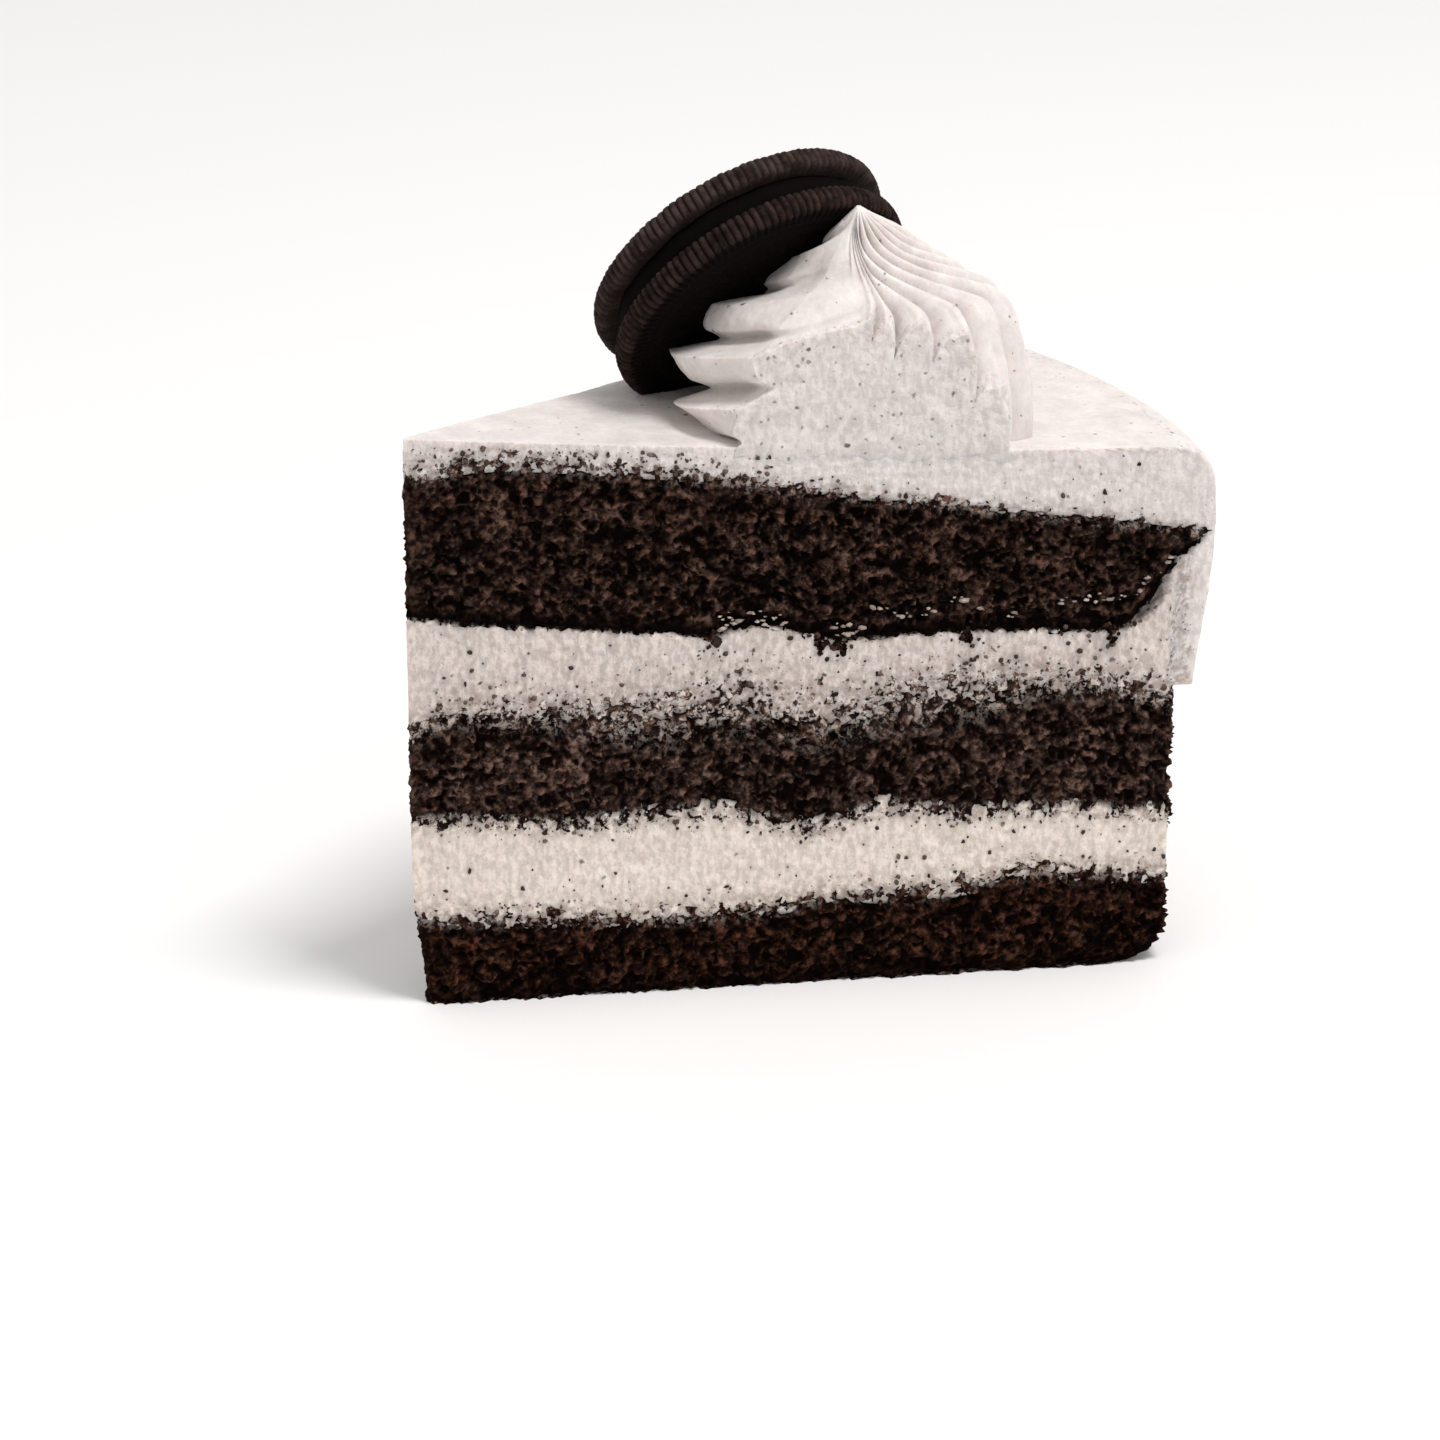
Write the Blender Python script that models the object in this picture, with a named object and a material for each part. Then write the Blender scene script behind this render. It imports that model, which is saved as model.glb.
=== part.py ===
"""A slice of cookies and cream layer cake with a piped swirl and a sandwich biscuit on top.

The slice is one eighth of a round cake. Its parts are described by their distance from the middle
of that whole cake (radius), their angle from the front cut face, and their height over the plate.
Three sponges and two cream fillings are stacked in this wedge. A coat of frosting lies over them
and hangs down the outer side as a skirt. The swirl was piped over the line of the front cut, so
the knife cut it flat too. The biscuit leans on the swirl and presses into the frosting.

Units are metres, +Z is up, and the origin is under the middle of the slice's bounding box.
"""
import math

import bmesh
import bpy
from mathutils import Matrix, Vector, noise

# The whole cake and the slice cut from it
CAKE_RADIUS = 0.1132
SLICE_ANGLE = math.radians(45.0)
SPONGE_RADIUS = 0.1080
GAP = 0.0003

# Height of each face between two layers, from the tip of the slice (radius 0) to the outer side
BOTTOM_SPONGE_TOP = (
    (0, 0.0135), (0.026, 0.0113), (0.050, 0.0117), (0.070, 0.0133), (0.0895, 0.0151), (0.108, 0.0137),
)
MIDDLE_SPONGE_BASE = (
    (0, 0.0276), (0.030, 0.0273), (0.041, 0.0253), (0.058, 0.0238), (0.069, 0.0258), (0.108, 0.0244),
)
MIDDLE_SPONGE_TOP = (
    (0, 0.0409), (0.004, 0.0424), (0.032, 0.0432), (0.055, 0.0426), (0.088, 0.0438), (0.108, 0.0408),
)
TOP_SPONGE_BASE = (
    (0, 0.0573), (0.011, 0.0556), (0.033, 0.0535), (0.041, 0.0525), (0.049, 0.0536), (0.059, 0.0512),
    (0.078, 0.0514), (0.0965, 0.0506), (0.104, 0.0546), (0.108, 0.0592), (0.112, 0.0638),
)
TOP_SPONGE_TOP = (
    (0, 0.0776), (0.011, 0.0795), (0.022, 0.0787), (0.041, 0.0760), (0.063, 0.0725), (0.0995, 0.0670),
    (0.112, 0.0646),
)
FROSTING_TOP = ((0, 0.0829), (0.027, 0.0809), (0.041, 0.0800), (0.084, 0.0776), (0.106, 0.0770))

# Outer side of the frosting: round edge at the top, fullest at two thirds of its height, then tapering in
SKIRT_OUTSIDE = (
    (0.1105, 0.0762), (0.1128, 0.0728), (0.1132, 0.0680), (0.1131, 0.0620), (0.1126, 0.0560),
    (0.1117, 0.0490), (0.1107, 0.0420),
)
# Inner side, point for point: round the top sponge's thin edge, back under it, then down beside the cream
SKIRT_INSIDE = (
    (0.1120, 0.0648), (0.11235, 0.0646), (0.11235, 0.0636), (0.1085, 0.0594), (0.1070, 0.0560),
    (0.1069, 0.0490), (0.1069, 0.0420),
)
CREAM_RADIUS = 0.1066

# The sponge tapers towards the plate at the tip and at the lower outer corner
TIP_SETBACK = 0.0003
TIP_TAPER = 0.0022
TIP_TAPER_HEIGHT = 0.019
CORNER_WIDTH = 0.0083
CORNER_HEIGHT = 0.0062

# Grid that every layer shares: cells from tip to LAST_RING, from front to back cut face, and up
LAST_RING = 0.1040
RADIAL_CELLS = 20
ANGLE_CELLS = 8
BOTTOM_CELLS_UP = 6
SPONGE_CELLS_UP = 4
CREAM_CELLS_UP = 3
FROSTING_CELLS_UP = 2

# Unevenness: slow drift of the faces between layers, and torn crumb on the cut faces
DRIFT = 0.0011
DRIFT_LENGTH = 0.024
DRIFT_START = 0.012
FROSTING_DRIFT = 0.35
HEM_DRIFT = 1.2
CRUMB_DEPTH = 0.0009
CRUMB_LENGTH = 0.0048
CREAM_RELIEF = 0.00025
CREAM_RELIEF_LENGTH = 0.009
RELIEF_BALANCE = 0.35

# Swirl: heights over the plate, then radius and middle from its base (0) up to its peak (1)
SWIRL_BASE = 0.0788
SWIRL_PEAK = 0.1090
SWIRL_RADIUS = (
    (0, 0.0220), (0.08, 0.0226), (0.20, 0.0223), (0.37, 0.0208), (0.48, 0.0188),
    (0.585, 0.0159), (0.73, 0.0094), (0.88, 0.0042), (1.0, 0.0),
)
SWIRL_MIDDLE_X = (
    (0, 0.0642), (0.15, 0.0636), (0.37, 0.0629), (0.50, 0.0634), (0.60, 0.0644), (0.73, 0.0656),
    (1.0, 0.0649),
)
SWIRL_MIDDLE_Y = 0.0139

# It isn't round: dented in front, fuller at the front right, narrow at the front left above its foot,
# and bulging to the right
FRONT_DENT = 0.17
FRONT_RIGHT = 0.08
FRONT_LEFT = (
    (0, 0.22), (0.12, 0.12), (0.22, -0.10), (0.35, -0.14), (0.50, -0.06), (0.60, 0), (1.0, 0),
)
RIGHT_BULGE = (
    (0, 0.0016), (0.12, 0.0022), (0.30, 0.0034), (0.45, 0.0042), (0.60, 0.0046), (0.72, 0.0042),
    (0.86, 0.0019), (1.0, 0),
)
BULGE_EDGE = math.radians(48)
BULGE_EASE_FRONT = math.radians(38)
BULGE_EASE_BACK = math.radians(70)
SWIRL_RINGS = 30
RING_CROWDING = 0.25
SWIRL_UNDERSIDE = (0.08, 0.40, 0.72)

# Its upright ridges: round, with sharp crevices between them. They are shallow at the levels where the
# nozzle was lifted, lean over a little below that, and are twisted back above it
RIDGES = 20
POINTS_PER_RIDGE = 4
RIDGE_SHIFT = math.radians(19.5)
RIDGE_DEPTH = 0.0036
RIDGE_ROUNDING = 0.6
RIDGE_BALANCE = 0.65
PEAK_FADE = 0.20
CALM_LEVELS = (0.60, 0.93)
CALM_SHARE = 0.70
CALM_FADE = 0.10
LEAN = 0.22
LEAN_HEIGHTS = (0.084, 0.098)
TWIST = 1.2
TWIST_HEIGHTS = (0.0975, 0.1065)

# Left of the front they lie as ledges, one above the other, which climb towards the front. From one
# ledge's upper edge (0) down to the next one's (1): a steep face, a hollow, a slope outwards
LEDGE_SECTION = (
    (0, 0), (0.12, -0.06), (0.35, -0.30), (0.52, -0.60), (0.70, -1.0), (0.84, -0.70), (1.0, 0),
)
LEDGE_REACH = (
    (0, 0.0019), (0.10, 0.0007), (0.13, 0.0008), (0.21, 0.0028), (0.30, 0.0030), (0.58, 0.0030),
    (0.78, 0.0017), (1.0, 0.0017),
)
LEDGE_DEPTH = 0.0052
LEDGE_CLIMB = 4
LEDGE_PITCH = 0.0065
LEDGE_HEIGHT = 0.09683
LOWEST_LEDGE = 0.0816
UPPER_LEDGE_LEVEL = 0.60
UPPER_LEDGE_SHARE = 0.4
UPPER_LEDGE_FADE = 0.12
SHALLOW_SIDE = math.radians(-63)
SHALLOW_WIDTH = math.radians(25)
SHALLOW_SHARE = 0.3
TURN_HEIGHT = 0.099
TURN_SLOPE = math.radians(3500)
TURN_WIDTH = math.radians(22)

# The biscuit stands against the swirl's left back, where the ridges are pressed flat
BISCUIT_SIDE = math.radians(-139)
BISCUIT_SHADE = math.radians(22)

# Sandwich biscuit: middle of its back face, direction from the back to the front wafer, sizes
BISCUIT_MIDDLE = Vector((0.0499, 0.0305, 0.0991))
BISCUIT_DIRECTION = Vector((0.353, -0.706, -0.613)).normalized()
WAFER_RADIUS = 0.0222
WAFER_THICKNESS = 0.0035
WAFER_SPACING = 0.0036
WAFER_EDGE = 0.0005
WAFER_SHOULDER = 0.0009
WAFER_BORDER = 0.0024
WAFER_FIELD_DEPTH = 0.0004
FILLING_RADIUS = 0.0203
RIM_TEETH = 84
TOOTH_DEPTH = 0.0004
SMOOTH_ANGLE = math.radians(40)

# Finishes: colour and roughness
SPONGE_FINISH = ((0.019, 0.010, 0.007), 0.95)
FILLING_CREAM_FINISH = ((0.62, 0.55, 0.50), 0.6)
FROSTING_FINISH = ((0.66, 0.60, 0.55), 0.5)
WAFER_FINISH = ((0.012, 0.007, 0.006), 0.75)
BISCUIT_FILLING_FINISH = ((0.010, 0.008, 0.008), 0.6)


def between(low, high, share):
    """The value that lies a given share of the way from low to high."""
    return low + (high - low) * share


def ease(share):
    """A share clamped to 0..1 with a soft start and a soft end."""
    share = max(0.0, min(1.0, share))
    return share * share * (3.0 - 2.0 * share)


def along(knots, x):
    """Height at x of a smooth curve through the given points."""
    x = max(knots[0][0], min(knots[-1][0], x))
    last = len(knots) - 1
    i = max(k for k in range(last) if knots[k][0] <= x)

    def slope(k):
        before, after = knots[max(k - 1, 0)], knots[min(k + 1, last)]
        return (after[1] - before[1]) / (after[0] - before[0])

    (x0, y0), (x1, y1) = knots[i], knots[i + 1]
    width = x1 - x0
    t = (x - x0) / width
    bend_0 = width * slope(i) - (y1 - y0)
    bend_1 = (y1 - y0) - width * slope(i + 1)
    return between(y0, y1, t) + t * (1 - t) * ((1 - t) * bend_0 + t * bend_1)


def polar(radius, angle, height):
    """A point given by its distance from the cake's middle, its angle and its height."""
    return Vector((radius * math.cos(angle), radius * math.sin(angle), height))


def drift(point, seed):
    """Slow unevenness over the plan of the cake. It starts behind the front cut face."""
    place = Vector((point.x, point.y, 0)) / DRIFT_LENGTH + Vector((0, 0, seed))
    return DRIFT * noise.noise(place) * ease(point.y / DRIFT_START)


def height_between_layers(knots, radius, angle):
    """Height of the face between two layers at a place in the plan."""
    height = along(knots, radius)
    return height + drift(polar(radius, angle, 0), knots[0][1] * 1000)


def tip_distance(height):
    """How far the slice's sharp front edge lies from the cake's middle."""
    return TIP_SETBACK + TIP_TAPER * ease(1 - height / TIP_TAPER_HEIGHT)


def sponge_side(height):
    """Radius of the sponge's outer side, with the rounded corner at the plate."""
    rise = max(0.0, 1 - height / CORNER_HEIGHT)
    return SPONGE_RADIUS - CORNER_WIDTH * (1 - math.sqrt(1 - rise * rise))


def divided_block(cells):
    """A cube from 0 to 1 each way, with its faces divided into a number of cells along x, y and z."""
    bm = bmesh.new()
    bmesh.ops.create_cube(bm, size=1.0, matrix=Matrix.Translation((0.5, 0.5, 0.5)))
    for axis, count in enumerate(cells):
        across = [edge for edge in bm.edges if abs(edge.verts[0].co[axis] - edge.verts[1].co[axis]) > 0.5]
        bmesh.ops.subdivide_edges(bm, edges=across, cuts=count - 1, use_grid_fill=True)
    return bm


def close_tip(bm, tip):
    """Join the points that meet in the slice's sharp front edge."""
    bmesh.ops.remove_doubles(bm, verts=tip, dist=GAP / 10)


def relief(point, depth, length, seed):
    """Depth of the torn surface at a point: pits with a few grains standing out."""
    value = noise.noise(point / length + Vector((0, 0, seed)))
    return depth * (value - RELIEF_BALANCE)


def roughen(bm, front, back, side, depth, length, seed):
    """Press the cut faces and the outer side in and out, each along its own direction."""
    out_of_back = Vector((-math.sin(SLICE_ANGLE), math.cos(SLICE_ANGLE), 0))
    for vert in front:
        vert.co.y -= relief(vert.co, depth, length, seed)
    for vert in back:
        vert.co += out_of_back * relief(vert.co, depth, length, seed)
    for vert in side:
        outward = Vector((vert.co.x, vert.co.y, 0)).normalized()
        vert.co += outward * relief(vert.co, depth, length, seed)


def new_object(name, bm, collection, parent):
    """Turn a finished mesh into a named object."""
    mesh = bpy.data.meshes.new(name)
    bm.to_mesh(mesh)
    bm.free()
    item = bpy.data.objects.new(name, mesh)
    collection.objects.link(item)
    item.parent = parent
    return item


def new_part(name, bm, finish, collection, parent):
    """A sub-part with its own material, of a plain colour and roughness."""
    colour, roughness = finish
    surface = bpy.data.materials.new(name)
    surface.use_nodes = True
    shader = surface.node_tree.nodes["Principled BSDF"]
    shader.inputs["Base Color"].default_value = (*colour, 1.0)
    shader.inputs["Roughness"].default_value = roughness
    surface.diffuse_color = (*colour, 1.0)
    item = new_object(name, bm, collection, parent)
    item.data.materials.append(surface)
    return item


def layer_mesh(base, top, side, rings, cells_up, depth, length, seed):
    """One layer of the wedge, between two heights, out to the last of the rings or its own side."""
    last = RADIAL_CELLS + len(rings)
    bm = divided_block((last, ANGLE_CELLS, cells_up))
    front, back, outer, tip = [], [], [], []
    for vert in bm.verts:
        column, row, up = round(vert.co.x * last), vert.co.y, vert.co.z
        angle = SLICE_ANGLE * row
        radius = LAST_RING * column / RADIAL_CELLS
        if column > RADIAL_CELLS:
            radius = rings[column - RADIAL_CELLS - 1]
        height = between(base(radius, angle), top(radius, angle), up)
        if column == last and side:
            radius = side(height)
        if column == 0:
            angle = SLICE_ANGLE / 2
            radius = tip_distance(height)
            tip.append(vert)
        elif row == 0:
            front.append(vert)
        elif row == 1:
            back.append(vert)
        elif column == last:
            outer.append(vert)
        vert.co = polar(radius, angle, height)
    roughen(bm, front, back, outer, depth, length, seed)
    close_tip(bm, tip)
    return bm


def face_height(knots, offset):
    """A function for one face between layers, moved up or down by an offset."""
    return lambda radius, angle: height_between_layers(knots, radius, angle) + offset


def plate_height(radius, angle):
    """The flat underside of the slice."""
    return 0.0


def frosting_mesh():
    """The coat as a bent band: along the top from tip to edge, round the edge, and down the outer side."""
    last = RADIAL_CELLS + len(SKIRT_OUTSIDE)
    inner_face = face_height(TOP_SPONGE_TOP, GAP / 2)
    bm = divided_block((last, ANGLE_CELLS, FROSTING_CELLS_UP))
    front, back, tip = [], [], []
    for vert in bm.verts:
        column, row, out = round(vert.co.x * last), vert.co.y, vert.co.z
        angle = SLICE_ANGLE * row
        if column <= RADIAL_CELLS:
            radius = LAST_RING * column / RADIAL_CELLS
            inner = Vector((radius, inner_face(radius, angle)))
            outer = Vector((radius, frosting_height(polar(radius, angle, 0))))
        else:
            step = column - RADIAL_CELLS - 1
            inner, outer = Vector(SKIRT_INSIDE[step]), Vector(SKIRT_OUTSIDE[step])
            if column == last:
                hem = HEM_DRIFT * abs(drift(polar(outer.x, angle, 0), SKIRT_OUTSIDE[-1][1] * 1000))
                inner.y += hem
                outer.y += hem
        section = inner.lerp(outer, out)
        if column == 0:
            angle = SLICE_ANGLE / 2
            section.x = TIP_SETBACK
            tip.append(vert)
        elif row == 0:
            front.append(vert)
        elif row == 1:
            back.append(vert)
        vert.co = polar(section.x, angle, section.y)
    roughen(bm, front, back, [], CREAM_RELIEF, CREAM_RELIEF_LENGTH, 0)
    close_tip(bm, tip)
    return bm


def frosting_height(point):
    """Height of the frosting's top under a point."""
    radius = math.hypot(point.x, point.y)
    return along(FROSTING_TOP, radius) + FROSTING_DRIFT * drift(point, FROSTING_TOP[0][1] * 1000)


def ridge_pattern(azimuth, height):
    """Where a point lies across the ridges, as a phase, and how far it belongs to the upright ones.

    Azimuth 0 faces the front and grows to the right. Left of the front the ridges are ledges. Right of
    it they stand, and they go on round the back as far as the biscuit.
    """
    ledges = math.tau * (LEDGE_HEIGHT - max(height, LOWEST_LEDGE)) / LEDGE_PITCH + LEDGE_CLIMB * azimuth
    lean = LEAN * ease((height - LEAN_HEIGHTS[0]) / (LEAN_HEIGHTS[1] - LEAN_HEIGHTS[0]))
    twist = TWIST * ease((height - TWIST_HEIGHTS[0]) / (TWIST_HEIGHTS[1] - TWIST_HEIGHTS[0]))
    upright = RIDGES * (azimuth + RIDGE_SHIFT + twist - lean)
    turn_line = min(TURN_SLOPE * (TURN_HEIGHT - height), 0)
    right = 1.0 if azimuth < BISCUIT_SIDE else ease((azimuth - turn_line) / TURN_WIDTH + 0.5)
    return between(ledges, upright, right), right


def swirl_radius(azimuth, level):
    """Distance of the swirl's surface from its middle, without the ridges."""
    middle = ease(level / 0.45) * ease((1 - level) / 0.30)
    spread = 1.0
    if abs(azimuth) < math.pi / 4:
        spread -= FRONT_DENT * middle * math.cos(2 * azimuth) ** 0.7
    if 0 < azimuth < math.pi / 2:
        spread += FRONT_RIGHT * middle * math.sin(2 * azimuth) ** 2
    if -math.pi / 2 < azimuth < 0:
        spread += along(FRONT_LEFT, level) * math.sin(2 * azimuth) ** 2
    on_right = ease((azimuth - BULGE_EDGE) / BULGE_EASE_FRONT) * ease((math.pi - azimuth) / BULGE_EASE_BACK)
    return along(SWIRL_RADIUS, level) * spread + along(RIGHT_BULGE, level) * on_right


def swirl_push(azimuth, level):
    """How far the ridges stand out at a place, and how far they are upright there."""
    phase, right = ridge_pattern(azimuth, between(SWIRL_BASE, SWIRL_PEAK, level))
    calm = ease((level - CALM_LEVELS[0]) / CALM_FADE) * ease((CALM_LEVELS[1] - level) / CALM_FADE)
    ridge = RIDGE_DEPTH * (abs(math.cos(phase / 2)) ** RIDGE_ROUNDING - RIDGE_BALANCE)
    ridge *= 1 - CALM_SHARE * calm
    depth = LEDGE_DEPTH * between(1, SHALLOW_SHARE, ease((azimuth - SHALLOW_SIDE) / SHALLOW_WIDTH))
    depth *= between(1, UPPER_LEDGE_SHARE, ease((level - UPPER_LEDGE_LEVEL) / UPPER_LEDGE_FADE))
    ledge = along(LEDGE_REACH, level) + depth * along(LEDGE_SECTION, phase / math.tau % 1)
    fade = ease((1 - level) / PEAK_FADE) * ease(abs(azimuth - BISCUIT_SIDE) / BISCUIT_SHADE)
    return fade * between(ledge, ridge, right), right


def swirl_point(azimuth, level):
    """Surface of the swirl at an azimuth and a level from 0 at its base to 1 at its peak."""
    step = 0.01
    above, below = min(level + step, 1.0), max(level - step, 0.0)
    flare = along(SWIRL_RADIUS, above) - along(SWIRL_RADIUS, below)
    outward = Vector(((SWIRL_PEAK - SWIRL_BASE) * (above - below), -flare)).normalized()
    push, right = swirl_push(azimuth, level)
    radius = swirl_radius(azimuth, level) + between(1, outward.x, right) * push
    middle = Vector((along(SWIRL_MIDDLE_X, level), SWIRL_MIDDLE_Y, 0))
    place = middle + radius * Vector((math.sin(azimuth), -math.cos(azimuth), 0))
    place.z = between(frosting_height(place) + GAP, SWIRL_PEAK, level) + outward.y * right * push
    return place


def swirl_mesh():
    """The piped swirl: rings from the middle of its underside out to the foot, then up to the peak.

    They lie closer at the foot, where the ledges are.
    """
    rows = len(SWIRL_UNDERSIDE) + SWIRL_RINGS
    bm = bmesh.new()
    bmesh.ops.create_cone(
        bm, cap_ends=True, segments=RIDGES * POINTS_PER_RIDGE, radius1=1, radius2=1, depth=1,
        matrix=Matrix.Translation((0, 0, 0.5)),
    )
    upright = [edge for edge in bm.edges if abs(edge.verts[0].co.z - edge.verts[1].co.z) > 0.5]
    bmesh.ops.subdivide_edges(bm, edges=upright, cuts=rows - 1, use_grid_fill=True)
    peak = [vert for vert in bm.verts if vert.co.z == 1]
    centre = Vector((SWIRL_MIDDLE_X[0][1], SWIRL_MIDDLE_Y, 0))
    for vert in bm.verts:
        row = round(vert.co.z * rows)
        azimuth = math.atan2(vert.co.x, -vert.co.y)
        step = max(0, row - len(SWIRL_UNDERSIDE)) / SWIRL_RINGS
        vert.co = swirl_point(azimuth, step * between(1 - RING_CROWDING, 1, step))
        if row < len(SWIRL_UNDERSIDE):
            vert.co = centre.lerp(vert.co, SWIRL_UNDERSIDE[row])
        if row <= len(SWIRL_UNDERSIDE):
            vert.co.z = frosting_height(vert.co) + GAP
    bmesh.ops.remove_doubles(bm, verts=peak, dist=GAP / 10)
    return bm


def wafer_mesh():
    """One wafer, filling side down: toothed side, raised border and a sunken field."""
    border = WAFER_RADIUS - WAFER_SHOULDER
    field = border - WAFER_BORDER
    sections = (
        (WAFER_RADIUS - WAFER_EDGE, 0.0),
        (WAFER_RADIUS, WAFER_THICKNESS / 2),
        (border, WAFER_THICKNESS),
        (field, WAFER_THICKNESS),
        (field - WAFER_FIELD_DEPTH, WAFER_THICKNESS - WAFER_FIELD_DEPTH),
    )
    last = len(sections) - 1
    bm = bmesh.new()
    bmesh.ops.create_cone(
        bm, cap_ends=True, segments=2 * RIM_TEETH, radius1=1, radius2=1, depth=1,
        matrix=Matrix.Translation((0, 0, 0.5)),
    )
    upright = [edge for edge in bm.edges if abs(edge.verts[0].co.z - edge.verts[1].co.z) > 0.5]
    bmesh.ops.subdivide_edges(bm, edges=upright, cuts=last - 1, use_grid_fill=True)
    for vert in bm.verts:
        ring = round(vert.co.z * last)
        radius, height = sections[ring]
        turn = math.atan2(vert.co.y, vert.co.x)
        if ring < last - 1:
            radius -= TOOTH_DEPTH * (1 - math.cos(RIM_TEETH * turn)) / 2
        vert.co = polar(radius, turn, height)
    return bm


def disc_mesh(radius, thickness, segments):
    """A plain round slab standing on its own base plane."""
    bm = bmesh.new()
    bmesh.ops.create_cone(
        bm, cap_ends=True, segments=segments, radius1=radius, radius2=radius, depth=thickness,
        matrix=Matrix.Translation((0, 0, thickness / 2)),
    )
    return bm


def place_on_biscuit(item, distance, direction):
    """Put an object on the biscuit's axis, its own +Z along the direction."""
    item.rotation_euler = direction.to_track_quat("Z", "Y").to_euler()
    item.location = BISCUIT_MIDDLE + BISCUIT_DIRECTION * distance


def cut(item, cutter):
    """Remove the cutter's space from an object."""
    step = item.modifiers.new("cut_by_" + cutter.name, "BOOLEAN")
    step.operation = "DIFFERENCE"
    step.solver = "EXACT"
    step.object = cutter


def build():
    """Make every sub-part of the slice."""
    for old in list(bpy.data.objects):
        bpy.data.objects.remove(old, do_unlink=True)
    cake = bpy.data.collections.new("cookies_and_cream_cake_slice")
    cutters = bpy.data.collections.new("cutters")
    for collection in (cake, cutters):
        bpy.context.scene.collection.children.link(collection)

    middle = bpy.data.objects.new("cake_middle", None)
    middle.location = (-CAKE_RADIUS / 2, -CAKE_RADIUS * math.sin(SLICE_ANGLE) / 2, 0)
    cake.objects.link(middle)

    layers = (
        ("sponge_bottom", plate_height, face_height(BOTTOM_SPONGE_TOP, -GAP / 2),
         sponge_side, (SPONGE_RADIUS,), BOTTOM_CELLS_UP, True),
        ("cream_lower", face_height(BOTTOM_SPONGE_TOP, GAP / 2), face_height(MIDDLE_SPONGE_BASE, -GAP / 2),
         None, (SPONGE_RADIUS,), CREAM_CELLS_UP, False),
        ("sponge_middle", face_height(MIDDLE_SPONGE_BASE, GAP / 2), face_height(MIDDLE_SPONGE_TOP, -GAP / 2),
         None, (SPONGE_RADIUS,), SPONGE_CELLS_UP, True),
        ("cream_upper", face_height(MIDDLE_SPONGE_TOP, GAP / 2), face_height(TOP_SPONGE_BASE, -GAP / 2),
         None, (CREAM_RADIUS,), CREAM_CELLS_UP, False),
        ("sponge_top", face_height(TOP_SPONGE_BASE, GAP / 2), face_height(TOP_SPONGE_TOP, -GAP / 2),
         None, (SPONGE_RADIUS, SKIRT_INSIDE[0][0]), SPONGE_CELLS_UP, True),
    )
    for seed, (name, base, top, side, rings, cells_up, is_sponge) in enumerate(layers):
        depth, length = (CRUMB_DEPTH, CRUMB_LENGTH) if is_sponge else (CREAM_RELIEF, CREAM_RELIEF_LENGTH)
        mesh = layer_mesh(base, top, side, rings, cells_up, depth, length, seed)
        new_part(name, mesh, SPONGE_FINISH if is_sponge else FILLING_CREAM_FINISH, cake, middle)

    frosting = new_part("frosting", frosting_mesh(), FROSTING_FINISH, cake, middle)
    swirl = new_part("swirl", swirl_mesh(), FROSTING_FINISH, cake, middle)

    wafer_front = new_part("wafer_front", wafer_mesh(), WAFER_FINISH, cake, middle)
    place_on_biscuit(wafer_front, WAFER_THICKNESS + WAFER_SPACING, BISCUIT_DIRECTION)
    filling_mesh = disc_mesh(FILLING_RADIUS, WAFER_SPACING - 2 * GAP, RIM_TEETH // 2)
    filling = new_part("biscuit_filling", filling_mesh, BISCUIT_FILLING_FINISH, cake, middle)
    place_on_biscuit(filling, WAFER_THICKNESS + GAP, BISCUIT_DIRECTION)
    wafer_back = new_part("wafer_back", wafer_mesh(), WAFER_FINISH, cake, middle)
    place_on_biscuit(wafer_back, WAFER_THICKNESS, -BISCUIT_DIRECTION)

    biscuit_depth = 2 * WAFER_THICKNESS + WAFER_SPACING
    dent_mesh = disc_mesh(WAFER_RADIUS + GAP, biscuit_depth + 2 * GAP, RIM_TEETH)
    dent = new_object("biscuit_dent", dent_mesh, cutters, middle)
    place_on_biscuit(dent, -GAP, BISCUIT_DIRECTION)

    knife_mesh = bmesh.new()
    bmesh.ops.create_cube(knife_mesh, size=2 * CAKE_RADIUS)
    knife = new_object("front_knife_cut", knife_mesh, cutters, middle)
    knife.location.y = -CAKE_RADIUS

    for cutter in (dent, knife):
        cutter.display_type = "WIRE"
        cutter.hide_render = True
    cut(frosting, dent)
    cut(swirl, dent)
    cut(swirl, knife)
    for item in (swirl, wafer_front, wafer_back, filling):
        item.data.shade_smooth()
        item.data.set_sharp_from_angle(angle=SMOOTH_ANGLE)


build()
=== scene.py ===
# %% [markdown]
# # A slice of cookies and cream cake
#
# The object is one eighth of a round layer cake. Three dark chocolate sponges and two whipped cream
# fillings are stacked in a wedge. A coat of speckled frosting lies on top and hangs down the outer side. A
# piped swirl stands at the front cut, where the knife went through it, and a round sandwich biscuit leans
# on it.
#
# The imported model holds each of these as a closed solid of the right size. They could be kept and only
# given materials, but torn crumb, whipped cream and piped ridges are shapes, and light shows it when they
# are painted on. So each solid is replaced by a finer mesh of the same form, in the same place.

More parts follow.
